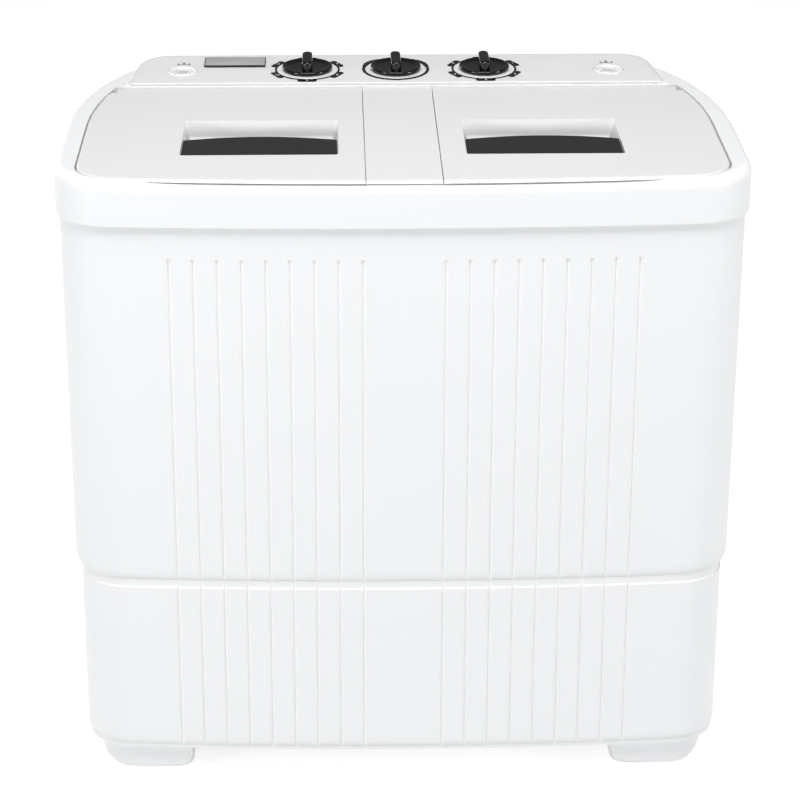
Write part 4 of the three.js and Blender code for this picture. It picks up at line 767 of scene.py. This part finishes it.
def top_deck():
    """The capped collar, joined with its tray and walls, less the wells, the openings and the seats."""
    rings = [above_deck(plan_outline(8), -3.0), above_deck(plan_outline(2.9), -8)]
    rings += [at_height(plan_outline(inset), z)
              for inset, z in ((2.9, 513), (0.9, 513), (0.25, 513.25), (0, 514))]
    rings += [above_deck(plan_outline(inset), -drop) for inset, drop in round_edge(8, 9, 9)]
    tray = deck_prism(half_field(plan_outline(16.5, 2.5), 1, -WIDTH, 88), -14.1, -WALL)
    walls = [opening_prism(side, WALL, 531.3, -12.6) for side in SIDES]
    solid = carve(loft(rings), [tray, *walls], "UNION")
    well = plan_outline(LID_SIDE - 1, LID_FRONT - 1)
    wells = [deck_prism(half_field(well, side, 32.1, 84.6), -11.6, 2) for side in SIDES]
    openings = [opening_prism(side, 0, 526, -10.6) for side in SIDES]
    seat = deck_prism(rounded_box(-32.2, -185, 32.2, 84.6, 0.3), -3.3, 2)
    bay = deck_prism(rounded_box(-226, 94, 226, 150, 12), -9, 2)
    rod_holes = [rod(*span, 2.75) for span in ((-262.6, -23), (23, 262.6))]
    return carve(solid, [*wells, *openings, seat, bay, front_ledge(), *rod_holes])


deck = new_piece("top_deck_moulding", top_deck(), "white_plastic", "top_deck", even=True)
print("top deck:", len(deck.data.polygons), "faces")

# %% [markdown]
# ## Lids and the strip between them
# Both lids and the fixed strip are cut from one rounded slab, so that their front edges run on as a single
# curve over a shallow lip. Each lid has a skirt, two ribs and a barrel for its hinge rod below, and a hand
# hold: a scoop whose back wall sweeps down from the surface as y = -14 - 5 s - 10 s^8, where s is the share
# of its 19 mm depth. A dark bar with an arched back edge crosses the front of the scoop.

# %% Mould the lids and the strip
TUBS = {"wash": -1, "spin": 1}
LID_GAP, HOLD_X = 32.4, 122                 # X of the lids' inner edges and of the middle of their hand holds


def slab():
    """The slab: its upper edge is a quarter ellipse, 1.3 wide at the sides and 6.6 at the front, over a lip."""
    rings = [above_deck(plan_outline(LID_SIDE, LID_FRONT + 4.5), z) for z in (-11, -1.95)]
    for k, drop in round_edge(1, 5.5, 9, 0.714):
        rings.append(above_deck(plan_outline(LID_SIDE + 1.3 * k, LID_FRONT + 6.6 * k), -drop))
    return loft(rings)


def slab_part(x0, x1, back, low=-30):
    """The slab between two x, as far as a back edge, above a height."""
    return carve(slab(), [deck_prism(rounded_box(x0, -200, x1, back, 0.4, 3), low, 5)], "INTERSECT")


def scoop(side, grow):
    """The hand hold's hollow, or the shell round it when grown."""
    x, rings = side * HOLD_X, []
    for s in np.linspace(1, 0, 14):
        back, half = -14 - 5 * s - 10 * s ** 8 + grow, 67.5 - 5 * s ** 2 + grow
        loop = rounded_box(x - half, -105 - grow, x + half, back, 2.2 + grow, 5)
        rings.append(above_deck(loop, -19 * s - grow * s if s else -1 if grow else 1))
    return loft(rings)


def lid(side):
    """A lid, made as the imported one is: slab, hollow, ribs, barrel and scoop."""
    low, high = sorted((side * WIDTH / 2, side * LID_GAP))
    notch = deck_prism(rounded_box(side * 275 - 19, 67, side * 275 + 19, 90, 0.4, 3), -30, 5)
    under = deck_prism(half_field(plan_outline(24, 13.5), side, 34.9, 68.5), -13, -WALL)
    hollow = carve(slab_part(low, high, HINGE_Y), [notch, under])
    low, high = sorted((side * 252, side * LID_GAP))
    ribs = [deck_prism(rounded_box(x - 1, -150, x + 1, 70, 0.6, 3), -7, -2)
            for x in (side * 152.6 - 84, side * 152.6 + 84)]
    joined = carve(hollow, [rod(low, high, 5.4), *ribs, scoop(side, WALL)], "UNION")
    return carve(joined, [scoop(side, 0), rod(low - 14, high + 14, 2.75)])


for name, side in TUBS.items():
    piece = new_piece(f"{name}_lid_moulding", lid(side), "light_grey_plastic", f"{name}_lid",
                      body=f"{name}_lid_body", even=True)
    print(piece.name, len(piece.data.polygons), "faces")
strip = slab_part(-31.6, 31.6, 84, low=-3)
new_piece("centre_strip_moulding", strip, "light_grey_plastic", "centre_strip", even=True)

# %% Mould the grip bars
def drawn_in(loop, distance):
    """A loop moved inward along the bisector of its neighbours: p + d (n1 + n2) / (1 + n1 . n2)."""
    edge = np.roll(loop, -1, 0) - loop
    edge /= np.linalg.norm(edge, axis=1, keepdims=True)
    inward = np.column_stack([-edge[:, 1], edge[:, 0]])
    before = np.roll(inward, 1, 0)
    return loop + distance * (inward + before) / (1 + (inward * before).sum(1, keepdims=True))


def grip_bar(side):
    """A plate from the front of the hold to a back edge arched by 9 mm, with soft edges and a front lip."""
    x, half, front = side * HOLD_X, 66.5, -104.7
    t = np.linspace(1, -1, 33)
    arch = np.column_stack([x + t * half, front + 50 - 9 * t ** 2])
    outline = np.vstack([[[x - half, front], [x + half, front]], arch])
    rings = [above_deck(drawn_in(outline, 0.5), -4.6), above_deck(outline, -4.1)]
    rings += [above_deck(drawn_in(outline, draw), -0.8 - drop) for draw, drop in round_edge(0.9, 0.9, 5)]
    lip = deck_prism(rounded_box(x - half + 4, front + 0.2, x + half - 4, front + 5, 1), -12, -4.2)
    return carve(loft(rings), [lip], "UNION")


for name, side in TUBS.items():
    new_piece(f"{name}_grip_bar", grip_bar(side), "charcoal_plastic", f"{name}_lid_grip",
              body=f"{name}_lid_body", even=True)
print("two grip bars")

# %% [markdown]
# ## Console
# The console is a puck with sides that lean in to two rounded rear corners. Its edge is a quarter ellipse
# 10.5 mm wide and 7 mm high, and its foot is sunk in the deck. The rear corners stand out over the collar and
# taper back to it underneath. A thin lip along the front overhangs a shallow undercut, which draws a soft
# line behind the lids. Each control is a dished glossy knob with a tall grip bar on a raised disc; the timers
# have a thin ring with six numbered tabs, and the selector a ring that swells into two crescents.

# %% Mould the console
CONSOLE_HALF, CONSOLE_BACK, UNDERCUT = 243, 174, 2.4
INLET_X, INLET_Y, KNOB_Y = 199.0, 119.0, 122.0
KNOBS = {"wash_timer": -82.6, "selector": 0.0, "spin_timer": 82.6}
DISC = [(0, -1), (28.2, -1), (28.2, 0.25), (27.85, 0.6), (0, 0.6)]
SEAT = [(0, -9), (12.5, -9), (12.5, -1.2), (14, -1.2), (14, 3), (0, 3)]


def console_outline(inset, near, r):
    """A straight front, sides that lean in 8 degrees, and rear corners of radius r, less an inset."""
    lean, reach = math.radians(8), r - inset
    corner = arc(CONSOLE_HALF - r, CONSOLE_BACK - r, reach, reach, lean, QUARTER, 16)
    end = corner[0, 0] + math.tan(lean) * (corner[0, 1] - near)
    right = np.vstack([np.linspace((end, near), corner[0], 9)[:-1], corner])
    front = np.column_stack([np.linspace(-end, end, 25), np.full(25, near)])[1:-1]
    return np.vstack([front, right, (right * [-1, 1])[::-1]])


def console_puck(grow, near, r):
    """A foot sunk into the deck, then a wall drawn in by 10.5 (1 - cos t) while it rises by 7 sin t."""
    foot = console_outline(grow + 1, near + UNDERCUT, max(r, 50))
    rings = [at_height(foot, lambda y: console_top(y) - 2 * grow - 16)]
    for share, (draw, drop) in zip(np.linspace(0, 1, 9), round_edge(10.5, 7, 9)):
        set_back = 0.9 * share ** 6 if share > 0.7 else UNDERCUT
        loop = console_outline(grow + draw, near + set_back, r)
        rings.append(at_height(loop, lambda y: console_top(y) - grow - drop))
    return loft(rings)


def console():
    """The hollow puck with its raised discs, shaft holes and inlet seats."""
    shell = carve(console_puck(0, CONSOLE_FRONT, 30), [console_puck(WALL, CONSOLE_FRONT + WALL, 47)])
    discs = [on_console(turned(DISC, 72), x, KNOB_Y) for x in KNOBS.values()]
    joined = carve(shell, discs, "UNION")
    holes = [on_console(prism(circle(0, 0, 4.5), -9, 3), x, KNOB_Y) for x in KNOBS.values()]
    return carve(joined, holes + [on_console(turned(SEAT, 48), side * INLET_X, INLET_Y) for side in SIDES])


top = new_piece("console_moulding", console(), "console_plastic", "console_housing",
                slot="white_plastic", even=True)
print("console:", len(top.data.polygons), "faces")

# %% Shape the knobs
def bend(cx, cz, r, start, end):
    """Profile points on a small arc, angles in degrees."""
    return arc(cx, cz, r, r, math.radians(start), math.radians(end), 5).tolist()


def knob():
    """The dished disc with a rolled rim, the grip bar with a crowned top, and the hub, joined."""
    dish = [(21.5 - 5.5 * u, 4.4 - 1.9 * math.sin(u * QUARTER)) for u in np.linspace(0.1, 1, 6)]
    profile = [(0, 1.2), *bend(22.5, 2.1, 0.9, -90, 0), *bend(22.3, 3.4, 1.1, 0, 90), (21.7, 4.5), *dish,
               (12, 2.3), (0, 2.1)]
    outline = rounded_box(-4.9, -17.6, 4.9, 18.6, 4.6, 8)
    scales = [(1.8, 1.03), (4.0, 1.0), (8.0, 0.985), (10.4, 0.97)]
    scales += [(10.4 + 2.2 * math.sin(a), 0.97 - 0.42 * (1 - math.cos(a))) for a in np.linspace(0.25, 1.5, 6)]
    x, y = outline.T
    bar = loft([at_height(np.column_stack([x * k, (y - 0.5) * (1 - (1 - k) * 0.35) + 0.5]), z)
                for z, k in scales])
    return carve(turned(profile, 96), [bar, prism(circle(0, 0, 3.8), -3.5, 2)], "UNION")


for name, x in KNOBS.items():
    new_piece(f"{name}_knob_moulding", on_console(knob(), x, KNOB_Y), "black_gloss", f"{name}_knob",
              body=f"{name}_control", even=True)
print("three knobs")

# %% Print the dials and their numbers
RING, PRINT, LIFT = 28.6, 0.4, 0.15         # the rings' inner radius, thickness and lift
FIGURES = {"wash_timer": (0, 3, 6, 9, 12, 15), "spin_timer": range(6)}


def ring(outer, marks):
    """A thin ring of an outer radius, joined with its marks."""
    return carve(turned([(RING, 0), (outer, 0), (outer, PRINT), (RING, PRINT)], 96), marks, "UNION")


def timer_ring():
    """A ring with six tabs, 60 degrees apart, starting on the line to the back."""
    tabs = [prism(rounded_box(-9.0, 29.0, 9.0, 35, 2.6), 0, PRINT) for _ in range(6)]
    return ring(30.4, [placed(tab, Matrix.Rotation(i * math.pi / 3, 4, "Z")) for i, tab in enumerate(tabs)])


def selector_ring():
    """A ring with two crescents, 14 to 86 degrees from the back, where it swells by 3.6 sin(pi u) ^ 0.8."""
    crescents = []
    u = np.linspace(0, 1, 25)
    rim = 30.6 + 3.6 * np.sin(math.pi * np.clip(u + 0.05, 0, 1)) ** 0.8
    for side in SIDES:
        a = QUARTER - side * (0.25 + 1.25 * u)
        unit = np.column_stack([np.cos(a), np.sin(a)])
        crescents.append(prism(np.vstack([rim[:, None] * unit, 30.2 * unit[::-1]]), 0, PRINT))
    return ring(31.4, crescents)


def number(text):
    """A figure as a thin raised print, centred on the origin."""
    curve = bpy.data.curves.new("number", "FONT")
    curve.body, curve.size, curve.extrude = text, 4.6 * MM, 0.05 * MM
    curve.align_x, curve.align_y = "CENTER", "CENTER"
    curve.resolution_u = 3
    return evaluated(stand("number", curve))


for name, figures in FIGURES.items():
    x = KNOBS[name]
    new_piece(f"{name}_ring", on_console(timer_ring(), x, KNOB_Y, LIFT), "black_gloss", f"{name}_dial")
    for i, figure in enumerate(figures):
        a = QUARTER - i * math.pi / 3
        spot = Vector((32.3 * math.cos(a), 32.3 * math.sin(a), 0.48)) * MM
        mesh = placed(number(str(figure)), Matrix.Translation(spot))
        new_piece(f"{name}_figure_{figure}", on_console(mesh, x, KNOB_Y, LIFT), "dial_ink")
new_piece("selector_ring", on_console(selector_ring(), 0, KNOB_Y, LIFT), "black_gloss", "selector_dial")
print("dials and figures")

# %% [markdown]
# ## Inlets, plate and screws
# Each water inlet is a cup with a socket for the fill hose and a small sign behind it. The plate at the left
# of the console is bare brushed foil on a dark carrier. Six screws hold the service cover on the back.

# %% Make the inlets and the bare plate
HANDS = {"left": -1, "right": 1}
PLATE_X, PLATE_Y, PLATE_LIFT = -150.7, 142, 0.3
SIGN = {"tray": [(-6, 2), (-6, -2.5), (6, -2.5), (6, 2), (4.8, 2), (4.8, -1.3), (-4.8, -1.3), (-4.8, 2)],
        "arrow": [(-0.6, 5.2), (-0.6, 1.9), (-2.2, 1.9), (0, -0.5), (2.2, 1.9), (0.6, 1.9), (0.6, 5.2)]}


def inlet():
    """A shallow cup with a rolled lip round the raised socket for the fill hose."""
    profile = [*bend(13.2, -0.3, 0.5, -20, 90), *bend(12.2, 0.1, 0.7, 40, 150), (10.2, -2.0),
               *bend(9.6, -1.7, 0.8, -30, -100), (8.6, -2.4), (8.2, -1.6), (7.9, -0.2),
               *bend(7.3, -0.2, 0.4, 20, 90), *bend(6.7, -0.3, 0.5, 90, 160), (5.8, -3), (5.8, -27),
               (7.6, -27), (7.6, -9), (11.6, -5), (11.6, -0.9), (13.7, -0.9)]
    return turned(profile, 72)


for hand, side in HANDS.items():
    new_piece(f"{hand}_inlet_cup", on_console(inlet(), side * INLET_X, INLET_Y), "console_plastic",
              f"{hand}_water_inlet", slot="white_plastic")
plate = on_console(prism(rounded_box(-28.7, -12.4, 28.7, 12.4, 0.8), 0, 1.75), PLATE_X, PLATE_Y, PLATE_LIFT)
foil = loft([at_height(rounded_box(-x, -y, x, y, 0.6), z) for x, y, z in
             ((27.9, 11.6, 1.76), (27.9, 11.6, 1.9), (27.7, 11.4, 2.0))])
new_piece("plate_carrier", plate, "black_gloss", "badge_plate", slot="badge_metal")
new_piece("plate_foil", on_console(foil, PLATE_X, PLATE_Y, PLATE_LIFT), "badge_metal", "badge_plate")
for hand, side in HANDS.items():
    for part, shape in SIGN.items():
        mesh = on_console(prism(np.array(shape, float), 0, 0.1), side * INLET_X, INLET_Y + 21, 0.02)
        new_piece(f"{hand}_inlet_{part}", mesh, "icon_ink")
print("inlets and plate")

# %% Screw the service cover on
def screw_head():
    """A pan head 7.6 mm across with a cross slot, its flat back at z = 0."""
    head = turned([(0, 0), (3.8, 0), *bend(2.6, 0.3, 1.2, 0, 90), (0, 1.7)], 40)
    slot = [rounded_box(-x, -y, x, y, 0.3, 3) for x, y in ((2.2, 0.45), (0.45, 2.2))]
    return carve(head, [prism(loop, 0.7, 3) for loop in slot])


face_back = Matrix.Rotation(-QUARTER, 4, "X")
for i, (x, z) in enumerate([(x, z) for x in (-141, 0, 141) for z in (271, 459)]):
    turn = Matrix.Rotation(0.4 + 1.1 * i, 4, "Z")
    seat = Matrix.Translation(Vector((x, DEPTH / 2 - 3.0, z)) * MM)
    new_piece(f"cover_screw_{i + 1}", placed(screw_head(), seat @ face_back @ turn), "steel")
print("six cover screws")

# %% [markdown]
# ## Everything inside
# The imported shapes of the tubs, the drives and the valve are already right. Each becomes a smooth copy with
# small round edges and the finish of its own material slot.

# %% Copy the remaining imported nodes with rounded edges
EDGES = {"wash_tub": 0.6, "spin_tub": 0.6, "spin_basket": 0.0, "drive_belt": 0.0, "rear_cover": 0.5}
EDGE = 0.35                                 # in mm, on every other node
slot_of = {part["node"]: part["material_slot"] for part in frame["record"]["subparts"]}
body_of = {node: body for body, nodes in frame["record"]["behaviour"]["bodies"].items() for node in nodes}


def smooth_copy(node):
    """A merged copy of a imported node, with its loose triangles and flat neighbours joined."""
    work = bmesh.new()
    work.from_mesh(frame["nodes"][node].data)
    bmesh.ops.remove_doubles(work, verts=work.verts, dist=0.02 * MM)
    bmesh.ops.dissolve_limit(work, angle_limit=math.radians(0.6), verts=work.verts, edges=work.edges)
    mesh = bpy.data.meshes.new("copy")
    work.to_mesh(mesh)
    work.free()
    packed_normals = mesh.attributes.get("custom_normal")
    if packed_normals:
        mesh.attributes.remove(packed_normals)
    return smooth(mesh)


standing = {node for piece in bpy.data.objects for node in piece.get("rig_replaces", [])}
for node in sorted(set(frame["nodes"]) - standing):
    new_piece(f"{node}_surface", smooth_copy(node), slot_of[node], node, body=body_of[node], even=True,
              edge=EDGES.get(node, EDGE))
print(len(frame["nodes"]) - len(standing), "smooth copies")
